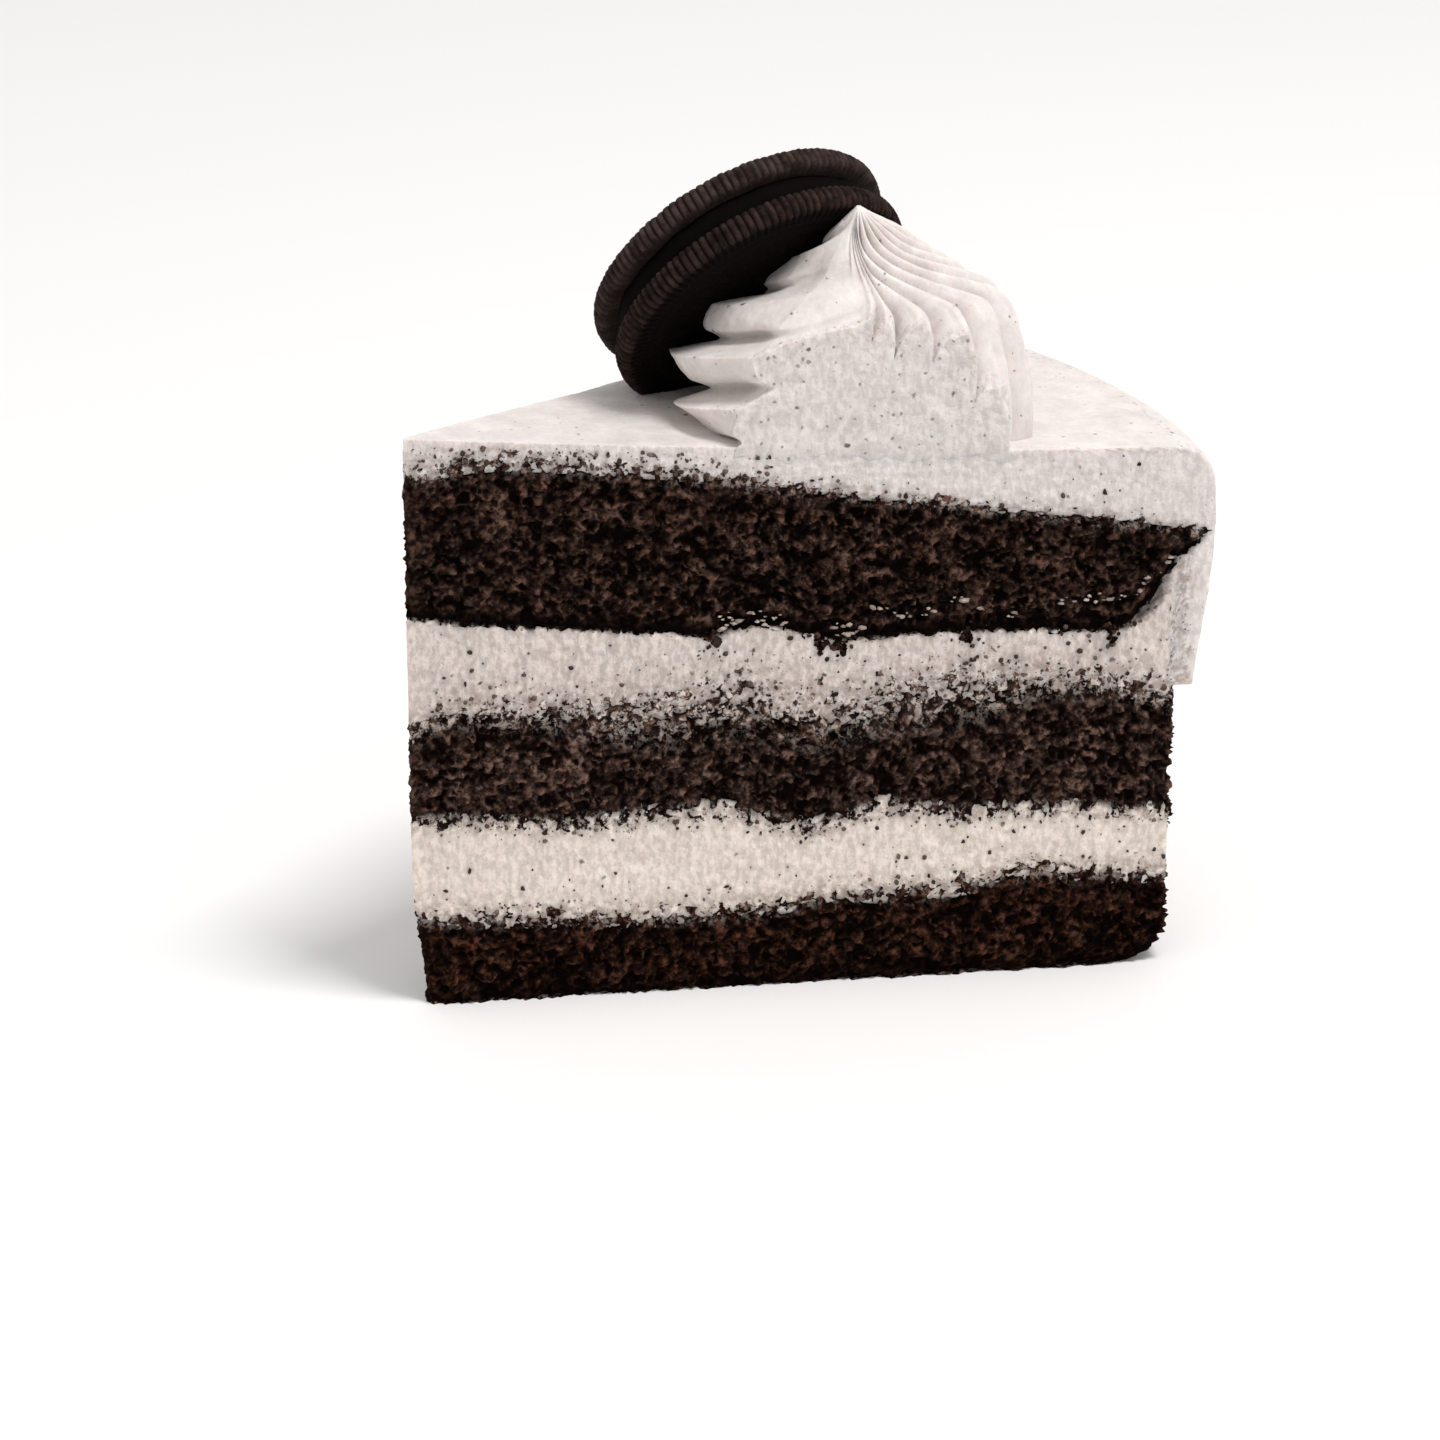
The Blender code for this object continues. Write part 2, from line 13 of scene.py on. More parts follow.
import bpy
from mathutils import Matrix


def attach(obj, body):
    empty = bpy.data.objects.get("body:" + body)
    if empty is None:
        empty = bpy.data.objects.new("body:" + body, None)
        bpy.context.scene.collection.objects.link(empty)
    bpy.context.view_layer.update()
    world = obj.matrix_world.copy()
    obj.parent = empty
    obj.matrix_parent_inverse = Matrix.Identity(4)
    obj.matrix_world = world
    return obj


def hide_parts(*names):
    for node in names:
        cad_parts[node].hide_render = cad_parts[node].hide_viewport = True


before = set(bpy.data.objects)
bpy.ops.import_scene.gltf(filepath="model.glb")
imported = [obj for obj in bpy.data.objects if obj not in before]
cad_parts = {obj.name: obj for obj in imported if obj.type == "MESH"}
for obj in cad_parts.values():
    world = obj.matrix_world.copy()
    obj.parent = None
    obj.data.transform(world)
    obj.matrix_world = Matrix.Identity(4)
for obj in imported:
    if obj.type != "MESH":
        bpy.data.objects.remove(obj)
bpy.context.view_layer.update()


print("solids:", ", ".join(sorted(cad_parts)))

# %% [markdown]
# ## Where things are
#
# A wedge is easiest to describe from the middle of the whole cake: the distance from it, the angle from the
# front cut face, and the height over the plate. All shapes below are made in millimetres round that middle,
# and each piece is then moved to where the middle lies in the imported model.

# %% The middle of the whole cake, and two small helpers
import math

import bmesh
import bpy
import numpy as np
from mathutils import Vector, noise

MM = 0.001
SLICE_ANGLE = math.radians(45)
CAKE_RADIUS = 113.2
LAYER_RADIUS = 108.0
CAKE_MIDDLE = MM * Vector((-CAKE_RADIUS / 2, -CAKE_RADIUS * math.sin(SLICE_ANGLE) / 2, 0))


def ease(share):
    """A share clamped to 0..1 with a soft start and a soft end."""
    share = np.clip(share, 0.0, 1.0)
    return share * share * (3 - 2 * share)


def smooth_curve(knots, x):
    """Value at x of a smooth curve through the given points."""
    kx, ky = np.array(knots, float).T
    places = np.arange(len(kx))
    before, after = np.maximum(places - 1, 0), np.minimum(places + 1, len(kx) - 1)
    slope = (ky[after] - ky[before]) / (kx[after] - kx[before])
    x = np.clip(x, kx[0], kx[-1])
    i = np.clip(np.searchsorted(kx, x, side="right") - 1, 0, len(kx) - 2)
    width, rise = kx[i + 1] - kx[i], ky[i + 1] - ky[i]
    t = (x - kx[i]) / width
    bend = (1 - t) * (width * slope[i] - rise) + t * (rise - width * slope[i + 1])
    return ky[i] + rise * t + t * (1 - t) * bend


print("middle of the whole cake in the packed model:", [round(value, 4) for value in CAKE_MIDDLE])

# %% [markdown]
# ## Camera
#
# The slice was seen from a little over half a metre away through a long lens, from slightly left of the
# front cut face and above it. The place and the direction below put the tip, the outer corner, the swirl's
# peak and the biscuit where they are in the picture.

# %% Set up the camera
lens = bpy.data.cameras.new("camera")
lens.lens = 120.55
lens.sensor_width = 36
lens.clip_start = 0.01
camera = bpy.data.objects.new("camera", lens)
camera.location = CAKE_MIDDLE + MM * Vector((-48.4, -617.0, 275.7))
camera.rotation_euler = Vector((0.1381, 0.9254, -0.3530)).to_track_quat("-Z", "Y").to_euler()
bpy.context.scene.collection.objects.link(camera)
bpy.context.scene.camera = camera
print("camera stands", round((camera.location - CAKE_MIDDLE).length, 3), "m from the cake's middle")

# %% [markdown]
# ## Light and floor
#
# Food is lit softly and from above, so that crumbs and ridges get a bright upper side and a dark lower one.
# One broad lamp hangs high in front of the slice, to the right. A pale sky does the rest: without it the
# cut would be much darker than the top. The floor is a plain pale sheet, large enough to run out of view.

# %% Lamp, sky and floor
FLOOR_REACH = 3


def soft_lamp(name, place, size, power, colour):
    """A square lamp that points at the middle of the slice."""
    lamp = bpy.data.lights.new(name, "AREA")
    lamp.size = size
    lamp.energy = power
    lamp.color = colour
    holder = bpy.data.objects.new(name, lamp)
    holder.location = place
    holder.rotation_euler = (Vector((0, 0, 0.05)) - Vector(place)).to_track_quat("-Z", "Y").to_euler()
    bpy.context.scene.collection.objects.link(holder)


soft_lamp("key_lamp", place=(0.36, -0.38, 1.34), size=0.40, power=12.5, colour=(1.0, 0.985, 0.97))

sky = bpy.data.worlds.new("pale_sky")
sky.use_nodes = True
sky.node_tree.nodes["Background"].inputs["Color"].default_value = (1.0, 0.99, 0.98, 1)
sky.node_tree.nodes["Background"].inputs["Strength"].default_value = 0.74
bpy.context.scene.world = sky
bpy.context.scene.view_settings.view_transform = "Standard"

floor_mesh = bpy.data.meshes.new("floor")
floor_corners = [(FLOOR_REACH * x, FLOOR_REACH * y, 0) for x, y in ((-1, -1), (1, -1), (1, 1), (-1, 1))]
floor_mesh.from_pydata(floor_corners, [], [(0, 1, 2, 3)])
floor = bpy.data.objects.new("floor", floor_mesh)
bpy.context.scene.collection.objects.link(floor)
print("a lamp, a sky and a floor")

# %% [markdown]
# ## Uneven surfaces
#
# Sponge, cream and biscuit each need their own kind of unevenness, measured at every point of a fine mesh.
# Soft noise gives slow waves. Grains come from a cell pattern: each point belongs to the nearest of many
# scattered centres, the difference between the two nearest distances is small in the crevice between two
# grains, and each grain gets its own random number.

# %% Measure noise and grains at points given in millimetres
def waves(points, size, seed=0.0):
    """Soft noise from about -1 to 1. Its waves are about as long as size."""
    shift = Vector((seed, 1.7 * seed, -seed))
    return np.array([noise.noise(Vector(point) + shift) for point in points / size])


def grains(points, size, seed=0.0):
    """How far each point is from a crevice, as a share of the grain size, and its grain's own number."""
    shift = Vector((seed, 1.7 * seed, -seed))
    found = np.empty((len(points), 2))
    for i, point in enumerate(points / size):
        distances, centres = noise.voronoi(Vector(point) + shift)
        found[i] = distances[1] - distances[0], noise.cell(7.3 * centres[0])
    return found.T


probe = np.random.default_rng(1).uniform(0, 50, (2000, 3))
print("waves range:", waves(probe, 3.0).min().round(2), "to", waves(probe, 3.0).max().round(2))
grain_middle = np.percentile(grains(probe, 1.0)[0], 90)
print("middle of a grain is", grain_middle.round(2), "grain sizes from its crevice")

# %% [markdown]
# ## Heights of the layers
#
# The faces between the layers are not flat: the sponges were pressed into the cream and the knife dragged
# them a little. Each face is a smooth curve from the tip to the outer side, read from the front cut, and it
# drifts slowly away from that curve further inside the slice.

# %% Faces between layers, in millimetres
BOTTOM_SPONGE_TOP = (
    (0, 13.6), (14, 12.9), (28, 12.0), (43, 11.9), (50, 12.2), (58, 13.4),
    (64, 13.7), (71, 13.2), (78, 13.9), (86, 15.5), (93, 15.1), (108, 14.0),
)
MIDDLE_SPONGE_BASE = (
    (0, 27.2), (8, 26.9), (15, 26.4), (22, 25.8), (29, 26.2), (42, 26.6), (50, 24.9),
    (57, 23.0), (64, 25.4), (71, 25.5), (78, 24.3), (92, 24.2), (100, 23.2), (108, 22.4),
)
MIDDLE_SPONGE_TOP = (
    (0, 41.2), (3, 43.2), (7, 44.3), (20, 43.7), (34, 43.0), (43, 43.9), (50, 44.2),
    (57, 41.9), (64, 42.9), (78, 44.3), (86, 44.5), (93, 44.3), (100, 42.8), (108, 41.0),
)
TOP_SPONGE_BASE = (
    (0, 57.3), (11, 55.6), (33, 53.5), (41, 52.5), (49, 53.6), (59, 51.2), (78, 51.4),
    (96.5, 50.6), (101.5, 51.8), (105, 56.2), (108, 60.6), (110, 61.8), (112, 63.8),
)
TOP_SPONGE_TOP = ((0, 77.4), (11, 79.0), (22, 78.4), (41, 76.0), (63, 72.5), (99.5, 67.0), (112, 64.6))
FROSTING_TOP = ((0, 82.9), (27, 80.9), (41, 80.0), (84, 77.6), (106, 77.0))
DRIFT = 1.1
DRIFT_LENGTH = 24
DRIFT_START = 12


def drift(x, y, seed):
    """Slow unevenness over the plan of the cake. It starts behind the front cut face."""
    flat = np.stack((x, y, np.full_like(x, seed * DRIFT_LENGTH)), axis=1)
    return DRIFT * waves(flat, DRIFT_LENGTH) * ease(y / DRIFT_START)


def lifted(face, amount):
    """A face between layers, moved up."""
    return lambda x, y: face(x, y) + amount


def layer_face(knots, share=1.0):
    """A function that gives the height of one face between layers over a place in the plan."""
    def height(x, y):
        return smooth_curve(knots, np.hypot(x, y)) + share * drift(x, y, knots[0][1])
    return height


frosting_height = layer_face(FROSTING_TOP, share=0.35)
both_ends = np.array([0.0, LAYER_RADIUS]), np.array([0.0, 0.0])
print("frosting stands", frosting_height(*both_ends).round(1), "mm high at the tip and at the outer side")

# %% [markdown]
# ## The outline of the wedge
#
# Every layer is a wall that follows the same outline: along the front cut face from the tip, round the
# outer side, and back along the rear cut face. A layer could be a block cut by planes, but a wall made of
# columns and rows can be pressed in and out at every point along its own outward direction, also round the
# corners, and it stays closed.

# %% Columns round the wedge
CRUMB_SPACING = 0.36


def outline(spacing, radius=LAYER_RADIUS):
    """Columns round the wedge: the place of each as a share of the radius, and its outward direction."""
    straight = np.arange(0, radius, spacing) / radius
    bent = np.linspace(0, SLICE_ANGLE, int(radius * SLICE_ANGLE / spacing), endpoint=False)
    share = np.concatenate((straight, np.ones(len(bent)), 1 - straight))
    angle = np.concatenate((np.zeros(len(straight)), bent, np.full(len(straight), SLICE_ANGLE)))
    place = share[:, None] * np.stack((np.cos(angle), np.sin(angle)), axis=1)
    for _ in range(2):
        place = (np.roll(place, 1, axis=0) + place + np.roll(place, -1, axis=0)) / 3
    way = np.roll(place, -2, axis=0) - np.roll(place, 2, axis=0)
    outward = np.stack((way[:, 1], -way[:, 0]), axis=1)
    outward /= np.linalg.norm(outward, axis=1)[:, None]
    return place, outward


print(len(outline(CRUMB_SPACING)[0]), "columns round a sponge")


# %% Turn walls into a closed mesh
def grid_faces(rows, around):
    """Four-sided faces of a grid whose rows run round and close."""
    here = np.arange(around)
    following = np.roll(here, -1)
    start = around * np.arange(rows - 1)[:, None]
    corners = start + here, start + following, start + around + following, start + around + here
    return np.stack(corners, axis=2).reshape(-1, 4).tolist()


def turned_faces(rows, around):
    """Faces of a grid that runs round an axis, with one more face to close each end."""
    ends = [list(range(around))[::-1], list(range(around * (rows - 1), around * rows))]
    return grid_faces(rows, around) + ends


def closed_walls(name, walls, floor_height, roof_height, floor_shares, roof_shares):
    """A piece from rows of points round the wedge. Rings that shrink to the middle close both its ends."""
    middle = walls[:, :, :2].mean(axis=(0, 1))

    def inner_rings(rim, height, shares):
        rings = []
        for share in shares:
            plan = middle + share * (rim[:, :2] - middle)
            rings.append(np.column_stack((plan, height(plan[:, 0], plan[:, 1]))))
        return rings

    below = inner_rings(walls[0], floor_height, floor_shares)[::-1]
    above = inner_rings(walls[-1], roof_height, roof_shares)
    rows = np.array(below + list(walls) + above)
    count, around = rows.shape[:2]
    points = np.concatenate((rows.reshape(-1, 3), rows[0].mean(axis=0)[None], rows[-1].mean(axis=0)[None]))
    floor_point, last_row = count * around, (count - 1) * around
    sides = [(a, (a + 1) % around) for a in range(around)]
    floor_fan = [(floor_point, b, a) for a, b in sides]
    roof_fan = [(floor_point + 1, last_row + a, last_row + b) for a, b in sides]
    return new_piece(name, points, grid_faces(count, around) + floor_fan + roof_fan)


def new_piece(name, points, faces):
    """A smooth shaded object from points in millimetres round the cake's middle."""
    mesh = bpy.data.meshes.new(name)
    mesh.from_pydata((MM * np.asarray(points)).tolist(), [], faces)
    mesh.shade_smooth()
    piece = bpy.data.objects.new(name, mesh)
    piece.location = CAKE_MIDDLE
    bpy.context.scene.collection.objects.link(piece)
    print(name, "has", len(mesh.polygons), "faces")
    return piece


print("3 rows of 8 points, closed at both ends, make", len(turned_faces(3, 8)), "faces")

# %% [markdown]
# ## The sponges
#
# Chocolate sponge tears when it is cut: grains stand out, others are gone, and there are small air holes.
# A bump map alone keeps the edges of the layers straight, and that is where the eye looks first. So the
# cut faces are pressed in and out by real grains and by strands of two sizes. Each layer reaches a little
# past its own edge, where it falls back, and its neighbour does the same. Whichever stands further out
# there is what shows, and so the line between sponge and cream comes out as ragged as the grains are.

# %% Torn crumb
def torn_crumb(points):
    """Outward push of a cut sponge surface in millimetres."""
    strayed = points + 0.45 * np.stack([waves(points, 1.4, seed) for seed in (11, 23, 37)], axis=1)
    wall, own = grains(strayed, 1.4, 5)
    strands = 1 - np.minimum(3.2 * np.abs(waves(strayed, 1.7, 41)), 1)
    fine_strands = 1 - np.minimum(3.2 * np.abs(waves(strayed, 0.95, 43)), 1)
    push = 0.30 * waves(points, 7.0, 2) + 0.50 * (own - 0.5) + 0.60 * strands + 0.50 * fine_strands - 0.35
    holes = 0.8 * ease((own - 0.8) / 0.1) * ease(wall / 0.35)
    return push - holes


def cut_cream(points):
    """Outward push of cream where the knife dragged it downwards."""
    dragged = points * (1, 1, 0.4)
    return 0.10 * waves(points, 5.0, 3) + 0.18 * waves(dragged, 1.3, 4) + 0.16 * waves(points, 0.9, 6)


for title, relief in (("crumb", torn_crumb), ("cream", cut_cream)):
    print(title, "stands out by", relief(probe).min().round(2), "to", relief(probe).max().round(2), "mm")


# %% The worn tip, and numbers kept on a mesh
MIDDLE_WAY = (math.cos(SLICE_ANGLE / 2), math.sin(SLICE_ANGLE / 2))
TIP_REACH = 6.0
TIP_WEAR = 0.3
TIP_LEAN, LEAN_HEIGHT = 2.2, 19


def tip_setback(z):
    """How far the sharp front edge is worn back. Near the plate it leans in."""
    return TIP_WEAR + TIP_LEAN * ease(1 - z / LEAN_HEIGHT)


def note_on(piece, name, values, start):
    """Keep a number per point on the mesh, for its material. It starts at the given point."""
    every = np.zeros(len(piece.data.vertices), np.float32)
    every[start:start + values.size] = values.ravel()
    piece.data.attributes.new(name, "FLOAT", "POINT").data.foreach_set("value", every)


for height in (0, 10, 20):
    print("at", height, "mm the tip is set back by", round(float(tip_setback(height)), 2), "mm")


# %% Build one layer
PLAN_HEIGHT = 40.0
FOOT_BAND = 3.5
INNER_RINGS = (0.97, 0.85, 0.6, 0.3)
CLOSING_SLOPE = 0.3


def cake_layer(name, base, top, side, relief, overlap, fall, mix_reach, spacing, foot_shade=0.55):
    """A layer between two faces. Pairs are given for its lower and its upper edge, in that order.

    It reaches past its edges by the overlap, where it falls back at the slope given by fall. mix_reach is
    how far the neighbour is smeared into it. Both may be curves over the distance from the tip. foot_shade
    is how much darker the layer is painted at its lower edge: painted shade at its foot.
    """
    place, outward = outline(spacing)
    plan = side(np.array([PLAN_HEIGHT]))[0] * place
    low, high = base(*plan.T), top(*plan.T)
    lowest, highest = low - overlap[0], high + overlap[1]
    from_tip = np.linalg.norm(plan, axis=1)
    fall, mix_reach = (
        [smooth_curve(value, from_tip) if isinstance(value, tuple) else value for value in pair]
        for pair in (fall, mix_reach)
    )
    count = int(np.ceil((highest - lowest).max() / spacing)) + 1
    z = lowest + (highest - lowest) * np.linspace(0, 1, count)[:, None]
    near_tip = np.clip(1 - from_tip / TIP_REACH, 0, 1) ** 2
    lean = (tip_setback(z) * near_tip)[:, :, None] * MIDDLE_WAY
    walls = np.concatenate((place * side(z)[:, :, None] + lean, z[:, :, None]), axis=2)
    push = relief(walls.reshape(-1, 3)).reshape(z.shape) * (0.35 + 0.65 * ease(from_tip / 5))
    lowest_grains, highest_grains = np.percentile(push, (12, 94))
    # raised is how far each point stands out. The sponge material paints the low points, the pores, nearly
    # black as painted shade.
    raised = np.clip((push - lowest_grains) / (highest_grains - lowest_grains), 0, 1)
    # Painted shade: foot_shade darkens the lowest few millimetres of each layer. In the top sponge they are
    # nearly black.
    raised *= 1 - foot_shade * ease(1 - (z - low) / FOOT_BAND)
    edge_mix = ease(1 - (z - low) / mix_reach[0]) + ease(1 - (high - z) / mix_reach[1])
    push -= fall[0] * np.maximum(low - z, 0) + fall[1] * np.maximum(z - high, 0)
    push = np.maximum(push, -0.3 - 0.3 * from_tip)
    walls[:, :, :2] += push[:, :, None] * outward
    piece = closed_walls(
        name, walls, lifted(base, -CLOSING_SLOPE * overlap[0]), lifted(top, CLOSING_SLOPE * overlap[1]),
        INNER_RINGS, INNER_RINGS,
    )
    start = len(INNER_RINGS) * len(place)
    note_on(piece, "raised", raised, start)
    note_on(piece, "cut", np.ones_like(z), start)
    note_on(piece, "edge_mix", np.clip(edge_mix, 0, 1), start)
    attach(piece, "root")
    return piece


# %% Three sponges
def plate(x, y):
    """The flat underside."""
    return np.zeros_like(x)


def bottom_side(z):
    """Radius of the lowest sponge, with its rounded corner at the plate."""
    rise = np.clip(1 - z / 6.2, 0, 1)
    return LAYER_RADIUS - 8.3 * (1 - np.sqrt(1 - rise * rise))


def upright_side(radius):
    """A side that stands straight up at one radius."""
    return lambda z: np.full_like(z, radius)


MIDDLE_ROOF_FALL = ((0, 0.24), (22, 0.20), (34, 0.13), (80, 0.13), (90, 0.22), (108, 0.28))
MIDDLE_ROOF_SMEAR = ((0, 4.5), (22, 5.5), (34, 8.0), (80, 8.0), (90, 5.0), (108, 3.5))
sponge_bottom = cake_layer(
    "torn_sponge_bottom", plate, layer_face(BOTTOM_SPONGE_TOP), bottom_side, torn_crumb,
    overlap=(0, 3.0), fall=(0, 0.30), mix_reach=(0.01, 3.0), spacing=CRUMB_SPACING
)
sponge_middle = cake_layer(
    "torn_sponge_middle", layer_face(MIDDLE_SPONGE_BASE), layer_face(MIDDLE_SPONGE_TOP),
    upright_side(LAYER_RADIUS), torn_crumb,
    overlap=(2.4, 7.0), fall=(0.35, MIDDLE_ROOF_FALL), mix_reach=(2.0, MIDDLE_ROOF_SMEAR),
    spacing=CRUMB_SPACING
)
# The top sponge gets the strongest painted shade at its foot: a nearly black band above the upper filling.
sponge_top = cake_layer(
    "torn_sponge_top", layer_face(TOP_SPONGE_BASE), layer_face(TOP_SPONGE_TOP),
    upright_side(112.5), torn_crumb,
    overlap=(1.0, 1.8), fall=(1.8, ((0, 0.16), (30, 0.25), (60, 0.5), (112, 0.6))), mix_reach=(0.5, 2.5),
    spacing=CRUMB_SPACING, foot_shade=1.1
)
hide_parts("sponge_bottom")
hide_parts("sponge_middle")
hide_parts("sponge_top")

# %% [markdown]
# ## The cream fillings
#
# Whipped cream keeps the marks of the knife, which dragged it down across the cut. It is made in the same
# way as the sponges, with a lower and smoother relief, and most of its edges fall back faster.

# %% Two fillings
CREAM_SPACING = 0.5


def side_under_coat(z):
    """Radius of the upper filling. Above the hem it reaches into the coat of frosting."""
    return 107.6 + 2.2 * ease((z - 43.0) / 1.5)


UPPER_FLOOR_FALL = ((0, 0.34), (22, 0.30), (34, 0.20), (80, 0.20), (90, 0.34), (108, 0.40))
UPPER_FLOOR_SMEAR = ((0, 5.0), (22, 5.5), (34, 7.0), (80, 7.0), (90, 5.5), (108, 5.0))
cream_lower = cake_layer(
    "whipped_filling_lower", layer_face(BOTTOM_SPONGE_TOP), layer_face(MIDDLE_SPONGE_BASE),
    upright_side(107.9), cut_cream,
    overlap=(2.4, 2.0), fall=(0.30, 0.40), mix_reach=(4.0, 2.5), spacing=CREAM_SPACING
)
cream_upper = cake_layer(
    "whipped_filling_upper", layer_face(MIDDLE_SPONGE_TOP), layer_face(TOP_SPONGE_BASE),
    side_under_coat, cut_cream,
    overlap=(4.0, 1.0), fall=(UPPER_FLOOR_FALL, 2.5), mix_reach=(UPPER_FLOOR_SMEAR, 0.6),
    spacing=CREAM_SPACING
)
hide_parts("cream_lower")
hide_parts("cream_upper")

# %% [markdown]
# ## The frosting
#
# The frosting is one coat: it covers the top and hangs down the outer side to just below the upper filling.
# Its wall follows the outline again, but each column starts where the coat starts there: on the sponge
# along the cuts, and at the hem on the outer side. The top is closed by rings, so it is as fine as the
# wall.

# %% Faces of the coat
SKIRT_PROFILE = (
    (42.0, 110.7), (49.0, 111.7), (56.0, 112.6), (62.0, 113.1), (68.0, 113.2),
    (72.8, 112.8), (75.4, 111.4), (76.6, 109.6), (77.1, 107.4),
)
SKIRT_INSIDE = ((42.0, 106.9), (57.0, 107.0), (60.8, 108.2), (62.2, 110.4), (63.6, 112.35))
COAT_FALL = ((0, 0.20), (30, 0.30), (60, 0.45), (85, 0.6), (103, 1.2), (114, 1.2))
COAT_LOWER_RINGS = (0.985, 0.97, 0.95, 0.9, 0.7, 0.4)
COAT_UPPER_RINGS = np.linspace(0.995, 0.02, 38)
COAT_SPACING = 0.55
COAT_ROWS = 50
COAT_PLAN_RADIUS = 110.0
COAT_SINK = 1.4
HEM = 42.0
sponge_roof = layer_face(TOP_SPONGE_TOP)


def coat_underside(x, y):
    """Lowest height of the coat: on the top sponge, and at the hem outside the cake's side."""
    radius = np.hypot(x, y)
    hem = HEM + 1.2 * np.abs(drift(x, y, HEM))
    on_sponge = sponge_roof(x, y) - COAT_SINK
    return on_sponge + (hem - on_sponge) * ease((radius - 94) / 12)


def outer_side(points):
    """How far points belong to the outer side of the coat rather than to a cut."""
    radius = np.hypot(points[:, 0], points[:, 1])
    from_rear_cut = math.sin(SLICE_ANGLE) * points[:, 0] - math.cos(SLICE_ANGLE) * points[:, 1]
    return ease((radius - LAYER_RADIUS) / 1.5) * ease(points[:, 1] / 2) * ease(from_rear_cut / 2)


def spread_frosting(points):
    """Outward push of frosting. The cut band is dragged, and the outer side keeps long flat strokes."""
    on_side = outer_side(points)
    strokes = 0.16 * waves(points * (0.25, 0.25, 1), 3.5, 8)
    return (1 - on_side) * cut_cream(points) + on_side * strokes


coat_foot = coat_underside(*both_ends).round(1)
print("underside of the coat:", coat_foot, "mm high at the tip and at the outer side")

# %% Wall of the coat
place, outward = outline(COAT_SPACING, CAKE_RADIUS)
plan = COAT_PLAN_RADIUS * place
lowest, highest = coat_underside(*plan.T), frosting_height(*plan.T)
z = lowest + (highest - lowest) * np.linspace(0, 1, COAT_ROWS)[:, None]
lean = 0.4 * (np.clip(1 - np.linalg.norm(plan, axis=1) / TIP_REACH, 0, 1) ** 2)[:, None] * MIDDLE_WAY
coat = np.concatenate((place * smooth_curve(SKIRT_PROFILE, z)[:, :, None] + lean, z[:, :, None]), axis=2)
coat_radius = np.hypot(coat[:, :, 0], coat[:, :, 1])
sponge_drift = drift(coat[0, :, 0], coat[0, :, 1], TOP_SPONGE_TOP[0][1])
over_sponge = z - smooth_curve(TOP_SPONGE_TOP, coat_radius) - sponge_drift
own_depth = np.maximum(over_sponge, coat_radius - smooth_curve(SKIRT_INSIDE, z))
push = spread_frosting(coat.reshape(-1, 3)).reshape(z.shape)
push += smooth_curve(COAT_FALL, coat_radius) * np.clip(own_depth, -2, 0)
coat_mix = ease(1 - over_sponge / (2.0 + 3.0 * ease(1 - coat_radius / 40))) * (coat_radius < COAT_PLAN_RADIUS)
coat[:, :, :2] += push[:, :, None] * outward
print("wall of the coat:", len(z), "rows of", len(place), "points")


# %% Close the coat over the top
def frosting_surface(x, y):
    """The top of the frosting with the flat strokes of the knife."""
    points = np.stack((x, y, np.zeros_like(x)), axis=1)
    return frosting_height(x, y) + 0.12 * waves(points * (0.5, 1, 1), 4.0, 12) + 0.05 * waves(points, 1.4, 13)


frosting = closed_walls(
    "spread_frosting", coat, coat_underside, frosting_surface, COAT_LOWER_RINGS, COAT_UPPER_RINGS
)
wall_start = len(COAT_LOWER_RINGS) * len(place)
note_on(frosting, "edge_mix", coat_mix, wall_start)
note_on(frosting, "cut", 1 - outer_side(coat.reshape(-1, 3)), wall_start)
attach(frosting, "root")
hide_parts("frosting")

# %% [markdown]
# ## The piped swirl
#
# A star nozzle leaves ridges. On the right they stand upright, lean over as they rise, and run together at
# the peak with a twist. Towards the left they lie down, one above the other, because the bag was moved
# round as it was squeezed. A star swept along a spiral would make them too even. So one formula holds both
# kinds: the ridges follow a phase that changes with the direction on the right, and with the height on the
# left, where they also climb slowly. The upright ones are round, with a sharp crevice between two of them.
# The lying ones are ledges with a section of their own: a sloping upper side, an edge, and a hollow under
# it. Then the knife takes everything in front of the cut away.

# %% Measures of the swirl
SWIRL_BASE, SWIRL_PEAK, SWIRL_SINK = 78.8, 109.0, 3.0
SWIRL_RADIUS = (
    (0, 22.0), (0.08, 22.6), (0.20, 22.3), (0.37, 20.8), (0.48, 18.8),
    (0.585, 15.9), (0.73, 9.4), (0.88, 4.2), (1.0, 0.3),
)
SWIRL_MIDDLE_X = (
    (0, 64.2), (0.15, 63.6), (0.37, 62.9), (0.50, 63.4), (0.60, 64.4), (0.73, 65.6), (1.0, 64.9),
)
SWIRL_MIDDLE_Y = 13.9
SWIRL_BULGE = (
    (0, 1.6), (0.12, 2.2), (0.30, 3.4), (0.45, 4.2), (0.60, 4.6), (0.72, 4.2), (0.86, 1.9), (1.0, 0),
)
SWIRL_FRONT_LEFT = (
    (0, 0.22), (0.12, 0.12), (0.22, -0.10), (0.35, -0.14), (0.50, -0.06), (0.60, 0), (1.0, 0),
)
LEDGE_FORM = (
    (0, 0), (0.05, -0.05), (0.30, -0.28), (0.54, -0.55), (0.63, -0.85), (0.72, -1.0), (0.86, -0.55), (1.0, 0),
)
LEDGE_REACH = (
    (0, 1.9), (0.10, 0.7), (0.13, 0.8), (0.21, 2.8), (0.30, 3.0), (0.58, 3.0), (0.78, 1.7), (1.0, 1.7),
)
LEDGE_DEPTH = 6.3
LEDGE_START, LOWEST_LEDGE = 96.83, 81.6
SWIRL_COLUMNS, SWIRL_ROWS = 504, 150
CUT_CELL, NEAR_CUT = 0.8, 0.7
